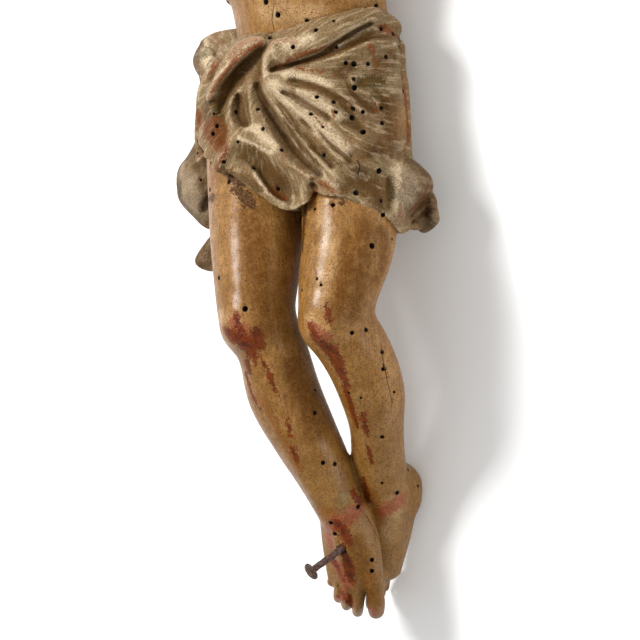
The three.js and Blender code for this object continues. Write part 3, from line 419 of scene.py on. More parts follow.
# Loose ends: two behind the right hip, a point below them, and the flared hem on the left.
for net in (
    [
        [(-8.4, 11.3, 5.6, 1.1), (-11.0, 11.6, 4.8, 1.0), (-13.2, 11.4, 4.1, 0.8)],
        [(-9.4, 9.4, 6.2, 1.4), (-11.6, 9.8, 5.5, 1.3), (-13.9, 9.8, 4.4, 0.8)],
        [(-10.4, 7.2, 6.6, 1.3), (-11.8, 7.5, 5.8, 1.1), (-12.8, 8.3, 4.9, 0.8)],
    ],
    [
        [(-12.0, 1.0, 6.6, 1.2), (-14.0, 0.2, 5.6, 1.0), (-15.8, -0.8, 4.6, 0.7)],
        [(-12.0, -2.5, 6.0, 1.0), (-15.5, -2.4, 5.6, 1.0), (-18.2, -2.6, 3.9, 0.6)],
        [(-12.2, -6.0, 4.5, 0.9), (-15.8, -5.6, 5.0, 0.9), (-18.9, -5.2, 3.3, 0.55)],
        [(-12.6, -9.6, 2.8, 0.8), (-15.4, -8.8, 3.4, 0.8), (-17.4, -7.6, 2.8, 0.55)],
    ],
    [
        [(-9.0, -7.0, 2.6, 1.0), (-13.0, -9.6, 2.8, 0.8), (-15.4, -10.6, 2.9, 0.6)],
        [(-9.5, -10.0, 2.2, 0.9), (-13.5, -12.0, 2.5, 0.7), (-18.0, -13.0, 2.5, 0.5)],
        [(-10.0, -12.0, 1.8, 0.7), (-13.5, -13.8, 2.0, 0.6), (-16.8, -13.9, 2.3, 0.5)],
    ],
    [
        [(11.0, -4.4, 9.4, 1.0), (12.6, -5.4, 8.6, 0.9), (13.8, -6.6, 7.2, 0.6)],
        [(11.2, -8.0, 9.8, 0.9), (12.8, -8.4, 8.8, 0.8), (14.2, -8.4, 6.8, 0.5)],
        [(10.8, -11.2, 9.4, 0.7), (11.6, -11.4, 8.6, 0.6), (12.8, -10.6, 7.4, 0.5)],
    ],
    [
        [(13.9, -7.0, 6.8, 0.55), (14.3, -9.4, 6.3, 0.5), (14.2, -11.6, 5.8, 0.5)],
        [(12.4, -6.5, 5.4, 0.8), (13.2, -9.6, 5.0, 0.7), (13.0, -12.0, 4.8, 0.6)],
        [(11.6, -6.5, 3.4, 0.8), (12.0, -9.6, 3.2, 0.7), (11.6, -12.2, 3.2, 0.6)],
    ],
):
    cloth.add(sheet(net, 12), 0.4)
cloth.add(rod([(12.0, -6.5, 6.4, 1.3), (12.4, -9.2, 6.2, 1.35), (12.0, -11.4, 5.8, 1.0)]), 0.5)

# Legs, bent at the knees, and the feet, the right one over the left.
for blend, *points in (
    (0.3, (-6.0, 1, 7.2, 5.8), (-5.4, -6, 9.6, 5.6), (-4.6, -12, 12.4, 5.2), (-4.2, -17.5, 14.6, 4.5),
     (-4.1, -20.8, 15.4, 4.1)),
    (0.6, (-3.7, -20.8, 15.2, 3.9), (-3.15, -24.5, 14.0, 3.85), (-3.3, -29, 12.2, 4.05),
     (-2.1, -33.5, 11.0, 3.7), (-0.6, -38, 10.0, 3.2), (0.6, -42.5, 9.5, 2.45)),
    (0.3, (6.4, 0, 7.2, 5.8), (6.4, -7, 10.0, 5.4), (6.8, -13, 12.5, 5.1), (6.1, -18, 14.6, 4.4),
     (5.6, -21.5, 15.4, 3.9)),
    (0.6, (5.6, -21.5, 15.2, 3.9), (6.8, -25.5, 13.2, 3.8), (6.9, -29.5, 11.0, 3.6), (6.0, -33.5, 8.9, 3.0),
     (4.6, -38, 6.6, 2.9), (4.3, -42, 5.2, 2.4)),
):
    flesh.add(rod(points), blend)
for knee in ((-4.2, -20.6, 17.8), (5.6, -21.2, 17.8)):
    flesh.add(mass(knee, (2.2, 2.5, 1.9)), 1.2)
for shin in (
    [(-3.7, -24.2, 16.6, 0.6), (-3.2, -29, 15.3, 0.6), (-2.2, -35, 13.6, 0.5), (-0.6, -40.5, 11.8, 0.4)],
    [(6.0, -24.6, 15.8, 0.6), (6.4, -29, 13.6, 0.6), (5.6, -35, 10.8, 0.5), (4.9, -40, 8.2, 0.4)],
):
    flesh.add(rod(shin), 1.2)
for ankle in ((2.6, -41.6, 9.6), (6.2, -41.4, 4.8)):
    flesh.add(mass(ankle, (0.9, 1.0, 1.1)), 0.8)
right_instep = [
    [(-0.8, -43.2, 9.0, 1.3), (-1.4, -46.5, 8.3, 1.1), (-1.7, -50.0, 7.8, 0.9)],
    [(1.0, -42.8, 9.6, 1.9), (1.2, -46.4, 9.0, 1.6), (0.9, -50.6, 8.2, 1.2)],
    [(2.4, -43.2, 8.6, 1.5), (2.9, -46.6, 8.0, 1.4), (3.1, -50.8, 8.0, 1.2)],
]
right_sole = (0.4, -41.4, 8.6, 2.1), (0.8, -42.4, 6.8, 1.9), (1.4, -46.5, 6.9, 1.3), (1.2, -50, 6.9, 1.1)
left_instep = [
    [(3.0, -42.6, 5.2, 1.9), (2.0, -46.4, 5.2, 1.5), (0.6, -49.8, 4.8, 1.1)],
    [(4.5, -42.8, 4.6, 1.9), (3.6, -46.4, 4.2, 1.7), (2.4, -50.0, 3.6, 1.3)],
    [(5.1, -42.6, 3.2, 1.9), (4.0, -46.2, 2.6, 1.5), (2.6, -50.0, 2.4, 1.2)],
]
left_heel = (5.2, -36, 6.0, 1.9), (4.8, -39, 4.2, 1.9), (5.0, -40.6, 2.2, 2.2), (4.9, -42.2, 2.1, 2.1)
flesh.add(sheet(right_instep, 8), 0.5)
flesh.add(rod(right_sole), 0.6)
flesh.add(sheet(left_instep, 8), 0.5)
flesh.add(rod(left_heel), 0.8)
flesh.add(rod([(1.4, -43, 11.1, 0.4), (1.9, -46.5, 10.3, 0.35), (2.9, -50.2, 9.1, 0.35)]), 0.6)  # tendons
flesh.add(rod([(0.6, -43.4, 11.0, 0.35), (0.5, -46.8, 10.2, 0.3), (0.5, -50.0, 9.2, 0.3)]), 0.5)
for toe in (
    [(3.2, -50.8, 8.2, 1.2), (3.15, -52.0, 8.1, 1.0), (3.0, -53.1, 7.9, 1.08), (2.6, -54.1, 7.2, 0.95)],
    [(1.6, -51.2, 8.4, 0.85), (1.0, -53.1, 8.0, 0.8), (0.4, -54.0, 7.2, 0.75)],
    [(0.3, -51.0, 8.2, 0.8), (-0.3, -52.5, 8.0, 0.75), (-0.9, -53.3, 7.3, 0.7)],
    [(-0.8, -50.6, 8.0, 0.75), (-1.4, -51.8, 7.9, 0.7), (-1.8, -52.4, 7.4, 0.65)],
    [(-1.6, -49.6, 7.8, 0.7), (-2.2, -50.6, 7.7, 0.65)],
):
    flesh.add(rod(toe), 0.15)
for x, y, z, r in (
    (1.9, -53.6, 5.2, 1.0),
    (1.8, -53.6, 4.2, 0.8),
    (1.6, -53.2, 3.2, 0.75),
    (1.6, -52.8, 2.3, 0.7),
    (1.8, -52.2, 1.5, 0.65),
):
    toe = (x + 0.4, -50.4, z - 0.2, r), (x - 0.4, y + 1.2, z, r * 0.95), (x - 0.9, y, z - 0.3, r * 0.9)
    flesh.add(rod(toe), 0.15)

# The layers become one block, the grooves and hollows of the cloth are cut, and the back is planed flat.
figure = Layer()
figure.far = soft_min(soft_min(flesh.far, cloth.far, 0.2), hair.far, 0.15)
figure.cut(mass((2.4, -10.6, 12.0), (1.4, 3.2, 1.7)), 0.5)

# The folds of the cloth's front fan out from the knot. Each line runs along a crest or a hollow: the height
# at its two ends, in shares, then its pixels in the photograph. The cloth is carved smoothly between lines.
AIM = Vector((0.397, -21.309, 9.0))  # the place in the middle of the photograph
DISTANCE = 300  # from there to the camera, in shares
FOCAL = 2700  # the camera's focal length, in pixels
MIDDLE = 320  # half the photograph's width, in pixels
PER_SHARE = FOCAL / DISTANCE  # pixels
yaw, roll = math.radians(28), math.radians(6)  # the camera looks from the figure's left, and leans
back = Vector((math.sin(yaw), 0, math.cos(yaw)))  # the way to the camera
level = Vector((back.z, 0, -back.x))
right = level * math.cos(roll) - Vector((0, 1, 0)) * math.sin(roll)
up = level * math.sin(roll) + Vector((0, 1, 0)) * math.cos(roll)


def pixel(x, y, z):
    """Where the photograph shows a place."""
    x, y, z = x - AIM.x, y - AIM.y, z - AIM.z
    far = DISTANCE - back.x * x - back.z * z
    u = MIDDLE + FOCAL * (right.x * x + right.y * y + right.z * z) / far
    return u, MIDDLE - FOCAL * (up.x * x + up.y * y + up.z * z) / far


def spots(text):
    return np.array([[float(n) for n in pair.split(",")] for pair in text.split()])


CLOTH_WINDOW = 172, 10, 446, 282  # left, top, right and bottom, in pixels
FOLDS = {
    "waist": """
        0.3 0.2: 266,39 285,37 305,31 325,25 345,20 365,16 380,16 | 0 -0.2: 384,15 392,20 397,27 |
        0.9 0.9: 283,64 300,58 318,50 328,44 342,37 356,28 368,22 376,20 |
        -0.7 -0.6: 272,71 284,68 300,63 318,57 330,49 344,38 358,29 372,23 |
        0.5 0.6: 336,47 350,40 363,33 374,28 |
        -0.2 -0.2: 328,53 342,49 352,46 362,42 372,38 384,38 394,36 | -0.4 -0.2: 380,26 385,34 |
        -0.1 -0.3: 389,22 393,31 400,44 | -0.3 -0.3: 397,30 402,50 404,75 |
        0.8 0.5: 266,75 285,71 300,67 318,62 335,58 350,51 365,45 382,42 396,44 |
        0.2 0.1: 350,62 368,58 385,55
    """,
    "knot": """
        1.1 1: 279,43 273,51 268,59 265,67 264,74 | 0.1 -0.4: 267,45 263,55 261,66 260,75 |
        0.6 0.4: 275,53 272,62 273,67 | 1 0.9: 290,47 282,54 279,61
    """,
    "flap": """
        1 1.2: 264,42 250,49 243,56 236,63 229,71 221,81 213,91 208,99 |
        -0.5 -0.5: 261,48 252,56 243,63 236,71 229,80 222,90 | -0.4 -0.3: 258,66 250,77 241,86 233,95 |
        -0.2 0.1: 216,101 208,112 202,124 199,138 | 0.1 0.1: 216,112 213,130 208,146 |
        0.9 0.8: 238,47 226,60 217,76 212,86 | 0.6 0.7: 231,58 222,72 | 0.4 0.3: 228,52 219,66 211,80 |
        0.7 0.5: 221,52 213,66 207,78
    """,
    "loop": """
        -0.1 0.9: 260,78 253,84 250,92 250,102 251,112 253,122 |
        -0.9 -0.9: 238,94 238,104 239,114 243,124 | -0.8 -0.9: 242,98 244,108 245,117 247,125 |
        0.2 1.1: 240,90 234,97 230,107 230,117 234,128 241,136
        252,142 264,148 276,156 288,165 300,172 313,178 |
        -0.5 -0.6: 226,97 223,108 224,120 226,132 222,143 | 0.55 0.6: 243,131 252,136 262,141 273,147 |
        0.7 0.8: 248,131 258,132 267,139 277,148 |
        0.7 0.8: 258,108 264,119 270,130 276,142 283,153 292,163 303,171 | 0.55 0.6: 256,112 258,124
    """,
    "apron": """
        0.7 0.7: 232,137 227,148 222,158 219,168 | 0.5 0.3: 236,145 230,156 228,165 |
        0.3 -0.1: 250,148 262,157 274,166 284,176 | -0.1 -0.5: 241,156 251,162 260,168 268,177 277,189 |
        -0.5 -0.9: 259,172 265,182 272,190 281,198 291,202 | -0.3 -0.6: 286,176 292,187 297,196 |
        0.35 0.6: 243,163 251,167 257,174 262,183 268,192 275,199 284,203 |
        0.1 0.2: 222,164 232,172 244,180 256,188 266,196 |
        0.45 0.5: 284,204 292,207 300,208 305,203 307,194 305,185 299,176 291,168 |
        -0.35 -0.2: 228,172 240,178 252,185 262,191 | -0.3 -0.5: 222,181 236,187 250,196 262,203 |
        -0.7 -0.7: 312,184 317,190 314,197 | 0.5 0.4: 313,179 323,184 333,189
    """,
    "fan": """
        -0.9 -1.3: 258,83 262,96 269,110 278,124 287,138 |
        -1.3 -0.5: 287,138 296,151 306,162 315,170 321,176 |
        0.9 0.8: 265,77 265,90 274,104 283,116 292,127 302,140 311,151 321,161 331,171 337,182 |
        0.3 -0.4: 278,103 286,113 293,122 300,131 309,140 317,150 325,159 332,168 |
        0.9 0.7: 272,84 283,96 292,106 303,116 312,126 321,137 332,149 344,160 |
        0 -0.5: 302,118 311,126 319,133 326,142 334,150 343,157 351,162 |
        0.4 0.6: 299,110 308,117 318,125 328,133 339,142 350,150 |
        0 0: 300,106 309,111 319,121 328,129 338,135 |
        -0.1 -0.5: 281,93 294,97 304,102 313,108 322,114 329,119 |
        0.9 0.7: 278,84 296,91 310,96 322,103 332,110 338,119 |
        0.3 -0.6: 290,81 303,83 315,87 327,92 337,98 346,106 352,115 358,124 364,131 |
        0.9 1: 283,75 298,77 312,81 326,86 338,92 349,100 358,108 366,114 |
        0.3 -0.5: 324,70 337,73 346,79 351,90 357,99 366,106 375,113 |
        0.5 0.6: 350,75 355,88 364,93 372,98 377,104 | -0.2 -0.3: 360,84 367,79 376,78 385,84 |
        -0.4 -0.5: 373,91 379,94 383,101 381,109 | 0.1 0.1: 388,60 392,80 392,100 390,120 385,140 |
        0.3 0.3: 342,113 347,121 | -0.1 -0.4: 342,122 349,124 357,130 363,134 |
        0.1 0.2: 371,121 360,140 368,148
    """,
    "hem": """
        -0.15 -0.25: 352,156 362,158 375,156 390,158 404,156 |
        0.3 0.35: 352,167 366,165 380,165 396,166 408,166 | -0.1 -0.5: 353,173 352,183 347,193 |
        -0.4 -0.5: 366,172 365,185 364,200 | -0.1 -0.1: 377,176 379,190 379,204 |
        -0.45 -0.4: 388,178 389,192 388,208 | 0.8 0.8: 398,172 401,185 403,200 403,214 402,222 |
        0.25 0.25: 414,173 418,184 412,196 | 0.5 0.5: 428,184 423,196 416,205 409,214 |
        -0.3 -0.3: 431,190 426,201 419,209 412,217 | 0.2 0.2: 433,200 424,209 414,220 |
        -0.2 -0.2: 433,208 424,214 413,223 | 0.2 0.2: 434,214 424,220 412,226 | 0 0.1: 424,174 418,180
    """,
    "ends": """
        0.2 0.2: 205,42 218,40 230,42 | -0.2 -0.2: 203,46 212,50 218,58 | 0.3 0.3: 200,56 206,64 208,72 |
        0.3 0.1: 213,152 200,158 190,167 182,178 | -0.15 -0.15: 205,152 196,157 188,161 |
        -0.1 -0.1: 214,162 200,170 188,180 181,190 | 0.3 0.3: 215,170 202,182 192,192 186,200 |
        0.3 0.2: 213,182 206,196 199,210 | -0.7 -0.7: 210,194 205,202 203,210 | 0.1 0.1: 200,214 208,222 |
        0.3 0.3: 200,262 208,262 | -0.3 -0.3: 202,268 210,268
    """,
}


def averaged(field, own=0):
    """Each cell as the mean of its four neighbours and, if it counts, of itself."""
    wide = np.pad(field, 1)
    around = wide[:-2, 1:-1] + wide[2:, 1:-1] + wide[1:-1, :-2] + wide[1:-1, 2:]
    return (around + own * field) / (4 + own)


def relief(text, window):
    """A height for every pixel of a window, smooth between lines and level at the window's edge."""
    u0, v0, u1, v1 = window
    lines = [line.split(":") for line in text.split("|")]
    field = np.zeros((1, 1))
    for size in (16, 8, 4, 2, 1):
        rows, columns = (v1 - v0) // size + 1, (u1 - u0) // size + 1
        height, count = np.zeros((2, rows, columns))
        for heights, path in lines:
            start, end = map(float, heights.split())
            points = spots(path)
            for t in np.linspace(0, 1, 12 * len(points)):
                u, v = through(points, t)
                cell = int((v - v0) / size), int((u - u0) / size)
                height[cell] += start + (end - start) * t
                count[cell] += 1
        known = count > 0
        height[known] /= count[known]
        coarse_rows = np.arange(rows)[:, None] * len(field) // rows
        field = field[coarse_rows, np.arange(columns) * len(field[0]) // columns]
        for _ in range(120):
            field[known] = height[known]
            field = averaged(field)
    for _ in range(3):
        field = averaged(field, 2)
    return field


FRONT = 2.5  # nothing lower than this is carved from the front


def carve(heights, window, where):
    """Raises the figure's front by heights that are given for pixels, where the mask is 1."""
    u, v = pixel(*np.meshgrid(*RULERS, indexing="ij", sparse=True))
    across, down = u - window[0], v - window[1]
    inside = (across > 0) & (down > 0) & (across < window[2] - window[0]) & (down < window[3] - window[1])
    inside &= RULERS[2] > FRONT
    across, down = across[inside], down[inside]
    i, j = across.astype(int), down.astype(int)
    a, b = across - i, down - j
    found = (1 - b) * ((1 - a) * heights[j, i] + a * heights[j, i + 1])
    found += b * ((1 - a) * heights[j + 1, i] + a * heights[j + 1, i + 1])
    figure.far[inside] -= found * where[inside]


wrapped = np.clip((flesh.far - cloth.far) / 0.3 + 0.5, 0, 1)
carve(relief("|".join(FOLDS.values()), CLOTH_WINDOW), CLOTH_WINDOW, wrapped)

# The toes of the right foot and the gaps between them, in the same way.
TOES_WINDOW = 322, 572, 392, 624
TOES = """
    -0.2 -0.25: 360,586 363,594 364,603 365,614 | -0.1 -0.15: 346,586 350,594 352,604 351,613 |
    -0.1 -0.1: 338,584 341,591 343,600 343,608 | -0.1 -0.1: 331,580 333,586 336,594 337,600 |
    0.1 0.1: 371,586 374,598 375,612 | 0.25 0.35: 354,586 357,598 358,612 |
    0.25 0.35: 344,586 346,596 348,606 | 0.25 0.35: 335,584 338,592 340,600
"""
carve(relief(TOES, TOES_WINDOW), TOES_WINDOW, np.ones_like(wrapped))
figure.far = np.maximum(figure.far, -RULERS[2].astype(np.float32))


def blurred(field, cells):
    for axis in range(3):
        count = field.shape[axis]
        run = np.cumsum(field, axis=axis, dtype=np.float64)
        marks = np.arange(count)
        high = np.take(run, np.minimum(marks + cells, count - 1), axis=axis)
        low = np.take(run, np.maximum(marks - cells - 1, 0), axis=axis)
        field = ((high - low) / (2 * cells + 1)).astype(np.float32)
    return field


def sampled(field, places):
    """The grid's value at places, in shares."""
    marks = [np.interp(places[:, n], r, np.arange(len(r))) for n, r in enumerate(RULERS)]
    low = [np.minimum(m.astype(int), len(r) - 2) for m, r in zip(marks, RULERS)]
    total = 0
    for corner in np.ndindex(2, 2, 2):
        share = 1
        for m, a, c in zip(marks, low, corner):
            share = share * (m - a if c else 1 - m + a)
        total = total + share * field[tuple(a + c for a, c in zip(low, corner))]
    return total


def placed(name, data):
    made = bpy.data.objects.new(name, data)
    bpy.context.scene.collection.objects.link(made)
    return made


grid = openvdb.FloatGrid(2.0)
grid.copyFromArray(np.clip(figure.far, -2, 2))
points, _, quads = grid.convertToPolygons(0.0, 0.0)
points = np.stack([np.interp(points[:, n], np.arange(len(r)), r) for n, r in enumerate(RULERS)], 1)
mesh = bpy.data.meshes.new("carved_figure")
mesh.from_pydata((points * SHARE).tolist(), [], quads.tolist())
carved = placed("carved_figure", mesh)
bpy.context.view_layer.objects.active = carved
carved.select_set(True)
MOST_TRIANGLES = 178000  # the holes and cracks add some more
thinner = carved.modifiers.new("fewer_faces", "DECIMATE")
thinner.ratio = min(1, MOST_TRIANGLES / (2 * len(quads)))
bpy.ops.object.modifier_apply(modifier=thinner.name)

# What time has done to it: woodworm has bored it all over, and it has cracked. The places on the front are
# given as the photograph shows them, in its pixels, and are found on the wood along the camera's rays.
EYE = (AIM + back * DISTANCE) * SHARE
wood = BVHTree.FromObject(carved, bpy.context.evaluated_depsgraph_get())


def seen(u, v):
    """Where the wood shows at a pixel, and the way its surface faces there."""
    aim = (AIM + (right * (u - MIDDLE) + up * (MIDDLE - v)) / PER_SHARE) * SHARE
    place, facing, _, _ = wood.ray_cast(EYE, aim - EYE)
    return place, facing


KNOT_PIXEL = 262, 75
KNOT = seen(*KNOT_PIXEL)[0]
HOLE_DEPTH, HOLE_RISE = 0.005, 0.001  # into the wood, and out of it, so that the cut comes through
WOOD_LEFT = 0.0003  # between two holes
chance = np.random.default_rng(7)
cutter = bmesh.new()
taken = []


def bore(place, facing, width):
    """A worm's exit hole, bored more or less straight in, unless it would break into another."""
    if place is None:
        return
    lean = Vector(chance.normal(0, 0.25, 3))
    along = (facing + back * 0.8 * (facing.dot(back) > 0) + lean).normalized()
    deep = place - along * HOLE_DEPTH
    for other, inner, size in taken:
        apart = min((place - other).length, (deep - inner).length, (deep - other).length)
        if apart < (size + width) / 2 + WOOD_LEFT:
            return
    taken.append((place, deep, width))
    middle = Matrix.Translation((place + along * HOLE_RISE + deep) / 2)
    bmesh.ops.create_cone(
        cutter,
        cap_ends=True,
        segments=11,
        radius1=width * 0.46,
        radius2=width * 0.54,
        depth=HOLE_DEPTH + HOLE_RISE,
        matrix=middle @ along.to_track_quat("Z", "Y").to_matrix().to_4x4(),
    )


WORM_HOLES = {  # the width of the holes, and their pixels
    0.0021: """
        266,2 278,15 354,64 354,88 353,109 352,118 363,132 379,171 356,193 372,246 245,309
    """,
    0.0016: """
        270,38 293,47 316,30 376,6 381,29 393,34 336,47 346,63 368,64 386,57 399,47 354,79 403,91 317,97
        334,102 336,112 363,112 381,108 382,123 258,109 236,112 311,114 263,129 282,150 324,155 217,126
        213,134 224,162 254,168 210,190 229,182 278,189 381,201 383,215 333,205 352,333 366,330 219,278
        382,352 383,369 315,413 382,437 323,463 335,464 358,507 331,523 335,534 397,493 372,560 372,571
    """,
    0.0011: """
        334,21 340,21 323,127 214,114 238,142 211,163 201,180 315,209 301,218 392,239 317,279 321,285
        302,290 394,392 349,393 361,398 315,390 408,470 418,486 382,483
    """,
}
for width, text in WORM_HOLES.items():
    for pair in text.split():
        bore(*seen(*map(float, pair.split(","))), width)

# On the sides that the photograph doesn't show, places are tried by chance, and the face is left whole.
TRIES = 230
WIDTHS = [0.0011, 0.0016, 0.0016, 0.002]
PHOTO_TOP = 0.036  # the height along the figure at which the photograph ends
CHIN = 0.105
FACE_WIDTH = 0.06
ELBOW = 0.11
FLAT = 0.002  # no holes in the flat of the back
polygons = carved.data.polygons
for n in chance.integers(0, len(polygons), TRIES):
    face = polygons[int(n)]
    x, y, z = face.center
    hidden = face.normal.dot(back) < 0.1 or y > PHOTO_TOP
    on_face = y > CHIN and abs(x) < FACE_WIDTH / 2 and face.normal.z > 0
    if hidden and not on_face and abs(x) < ELBOW and z > FLAT:
        bore(face.center.copy(), face.normal.copy(), float(chance.choice(WIDTHS)))


def crack(path, width, depth):
    """A crack along pixels of the photograph, as a thin wedge that runs out at both ends."""
    rows = []
    found = [seen(*p) for p in path]
    last = len(found) - 1
    for n, (place, facing) in enumerate(found):
        way = found[min(n + 1, last)][0] - found[max(n - 1, 0)][0]
        side = way.cross(facing).normalized() * width * (0.15 if n in (0, last) else 0.5)
        rows.append([cutter.verts.new(place + facing * 0.0005 + s) for s in (side, -side)])
        rows[-1].append(cutter.verts.new(place - facing * depth * (0.3 if n in (0, last) else 1)))
    for a, b in zip(rows, rows[1:]):
        for n in range(3):
            cutter.faces.new((a[n], b[n], b[(n + 1) % 3], a[(n + 1) % 3]))
    cutter.faces.new(rows[0][::-1])
    cutter.faces.new(rows[-1])


CRACKS = (  # width, depth and pixels
    (0.0003, 0.002, "274,4 273,12 272,20 274,29 272,36"),
    (0.0005, 0.002, "346,150 351,156 358,161 360,167 358,174 361,181"),
    (0.0003, 0.0015, "381,343 382,356 384,367 387,380 390,393 392,406"),
    (0.0003, 0.0015, "364,512 370,522 375,531 378,540"),
)
for width, depth, path in CRACKS:
    crack(spots(path), width, depth)
bmesh.ops.recalc_face_normals(cutter, faces=cutter.faces)

cut_mesh = bpy.data.meshes.new("borings")
cutter.to_mesh(cut_mesh)
borings = placed("borings", cut_mesh)


class Wire:
    """A value or a colour on its way through a material's nodes."""

    def __init__(self, tree, socket):
        self.tree, self.socket = tree, socket

    def node(self, kind, settings, sockets, out=0):
        made = self.tree.nodes.new("ShaderNode" + kind)
        for name, value in settings.items():
            setattr(made, name, value)
        for name, value in sockets.items():
            if isinstance(value, Wire):
                self.tree.links.new(value.socket, made.inputs[name])
            else:
                made.inputs[name].default_value = value
        return Wire(self.tree, made.outputs[out])

    def math(self, operation, *values):
        return self.node("Math", {"operation": operation}, dict(enumerate(values)))

    def __add__(self, other):
        return self.math("ADD", self, other)

    def __sub__(self, other):
        return self.math("SUBTRACT", self, other)

    def __rsub__(self, other):
        return self.math("SUBTRACT", other, self)

    def __mul__(self, other):
        return self.math("MULTIPLY", self, other)

    __radd__, __rmul__ = __add__, __mul__

    def most(self, other):
        return self.math("MAXIMUM", self, other)

    def step(self, low, high):
        """0 below low, 1 above high, and smooth between."""
        return self.node("MapRange", {"interpolation_type": "SMOOTHSTEP"}, {0: self, 1: low, 2: high})

    def tones(self, first, second):
        """A colour that goes from one paint to another, as this goes from 0 to 1."""
        return self.node("Mix", {"data_type": "RGBA"}, {0: self, 6: tone(first), 7: tone(second)}, 2)

    def under(self, paint, mask, blend="MIX"):
        """This colour with a paint laid over it where the mask is 1."""
        over = tone(paint) if isinstance(paint, str) else paint
        return self.node("Mix", {"data_type": "RGBA", "blend_type": blend}, {0: mask, 6: self, 7: over}, 2)

    def noise(self, scale, detail=4.0, rough=0.55, stretch=(1, 1, 1), turn=0):
        moved = {0: self, 1: stretch, 2: (turn, -turn, turn)}
        at = self.node("VectorMath", {"operation": "MULTIPLY_ADD"}, moved)
        return at.node("TexNoise", {}, {"Vector": at, "Scale": scale, "Detail": detail, "Roughness": rough})

    def marks(self, name):
        return self.node("Attribute", {"attribute_name": name}, {}, "Fac")


def tone(code):
    """A paint's colour, from its red, green and blue as six hexadecimal digits."""
    parts = [int(code[n : n + 2], 16) / 255 for n in (0, 2, 4)]
    return (*[((p + 0.055) / 1.055) ** 2.4 if p > 0.04 else p / 12.92 for p in parts], 1)


def finish_of(name):
    """A new material, the place on the object as its first wire, and its shader."""
    made = bpy.data.materials.new(name)
    made.use_nodes = True
    at = Wire(made.node_tree, None).node("TexCoord", {}, {}, "Object")
    return made, at, made.node_tree.nodes["Principled BSDF"]


def feed(shader, wires):
    for name, wire in wires.items():
        wire.tree.links.new(wire.socket, shader.inputs[name])


# Paint: thin ochre flesh, grey-white cloth over red bole that shows on worn edges, brown hair, blood at the
# knees and feet. Dirt and old varnish lie in the hollows, and the hollows are darkened further as painted
# shade; what stands proud is worn, and lightened further as a painted highlight.
painted, at, shader = finish_of("painted_wood")
broad = at.noise(42, 3).step(0.35, 0.65)
cloud = at.noise(95, 4, turn=9).step(0.38, 0.62)
patch = at.noise(190, 5, 0.6, turn=3).step(0.36, 0.64)
blots = at.noise(430, 5, 0.65, turn=5).step(0.36, 0.64)
flecks = at.noise(1150, 4, 0.65, turn=7).step(0.36, 0.64)
grain = at.noise(1000, 4, 0.6, (1, 0.06, 1)).step(0.42, 0.66)
specks = at.noise(1900, 3, 0.6, turn=2).step(0.585, 0.66)
crumbs = at.noise(1600, 6, 0.75, turn=11).step(0.38, 0.6)
moss = at.noise(70, 4, turn=14).step(0.52, 0.7)
to_feet = at.node("SeparateXYZ", {}, {0: at}, "Y") * -1.0
crown = at.marks("crown")
crease = at.marks("crease")
wrap = at.marks("cloth")
# Glaze strokes: old varnish, and painted shade on the shaded sides of the thighs and legs and in the
# cloth's hollows.
glaze_and_shade = at.marks("glaze_and_shade")
# Pale strokes: light paint, and painted highlights along lit crests.
chalk_and_highlight = at.marks("pale_and_highlight")

# Gouge marks and brush marks of the cloth run out from the knot.
from_knot = at.node("VectorMath", {"operation": "SUBTRACT"}, {0: at, 1: KNOT})
run_x = from_knot.node("SeparateXYZ", {}, {0: from_knot}, "X")
run_y = from_knot.node("SeparateXYZ", {}, {0: from_knot}, "Y")
angle = run_x.math("ARCTAN2", run_y, run_x)
reach = from_knot.node("VectorMath", {"operation": "LENGTH"}, {0: from_knot}, "Value")
brushed = at.node("CombineXYZ", {}, {"X": angle, "Y": reach * 4.5}).noise(26, 4, 0.6)
furrow = brushed.step(0.5, 0.66)
ridge = (1.0 - brushed).step(0.5, 0.66)

# How far each paint that was laid in strokes still covers: it has come off in places.
COVER = {"blood": 0.1, "rose": 0.1, "amber": 0.1, "bole": -0.1, "soil_and_shade": 0.1, "green": 0.05, "pale_and_highlight": 0.0}
worn = patch * 0.25 + blots * 0.5 + flecks * 0.85 - 1.35
blood, rose, amber, bole, soil_and_shade, green, pale_and_highlight = (
    (at.marks(name) * 1.5 + worn + more).step(0, 0.55) for name, more in COVER.items()
)
# Darker in the creases: dirt, and painted shade.
hollow_dirt_and_shade = (blots * 0.3 - crease * 7.0 - 0.3).step(0.0, 1.0)
# The skin darker in its creases: painted shade.
shaded = (blots * 0.3 - crease * 5.0 - 0.4).step(0.0, 1.3)
# The cloth darkest in its deepest creases: painted shade.
deep = (flecks * 0.3 - crease * 5.0 - 1.0).step(0.0, 1.0)
# Lighter on what stands proud: worn paint, and a painted highlight.
worn_and_highlit = (crown * 9.0 + blots * 0.5 - 0.45).step(0.0, 0.7)
sharp = (crown * 14.0 + blots * 1.1 - 1.9).step(0.0, 0.5)

skin = broad.tones("a98146", "c39a5e")
for paint, mask in (
    ("8d692c", cloud * 0.55),
    ("d2ad78", patch * 0.4),
    ("967034", blots * 0.3),
    ("7a5722", grain * 0.5),
    ("8f7140", to_feet.step(0.085, 0.16) * 0.7),
    # Dark glaze: varnish, and painted shade on the shaded sides of the thighs and legs.
    ("785010", glaze_and_shade * (0.55 + blots * 0.35)),
    # Light paint, and painted highlights on the left thigh and the knees.
    ("e6d0b0", chalk_and_highlight * (0.25 + patch * 0.25)),
    # Painted shade in the skin's creases.
    ("5c3d16", shaded * 0.8),
    ("97621f", amber * 0.62),
    (blots.tones("963c26", "b26648"), rose * 0.75),
    ("77714a", green * 0.4),
    # Soil: dirt, and painted shade in the hollows and between the thighs.
    ("402608", soil_and_shade * (0.6 + flecks * 0.35)),
    ("9a5c34", bole * 0.6),
    (blots.tones("561a04", "8c4010"), blood * 0.9),
):
    skin = skin.under(paint, mask)

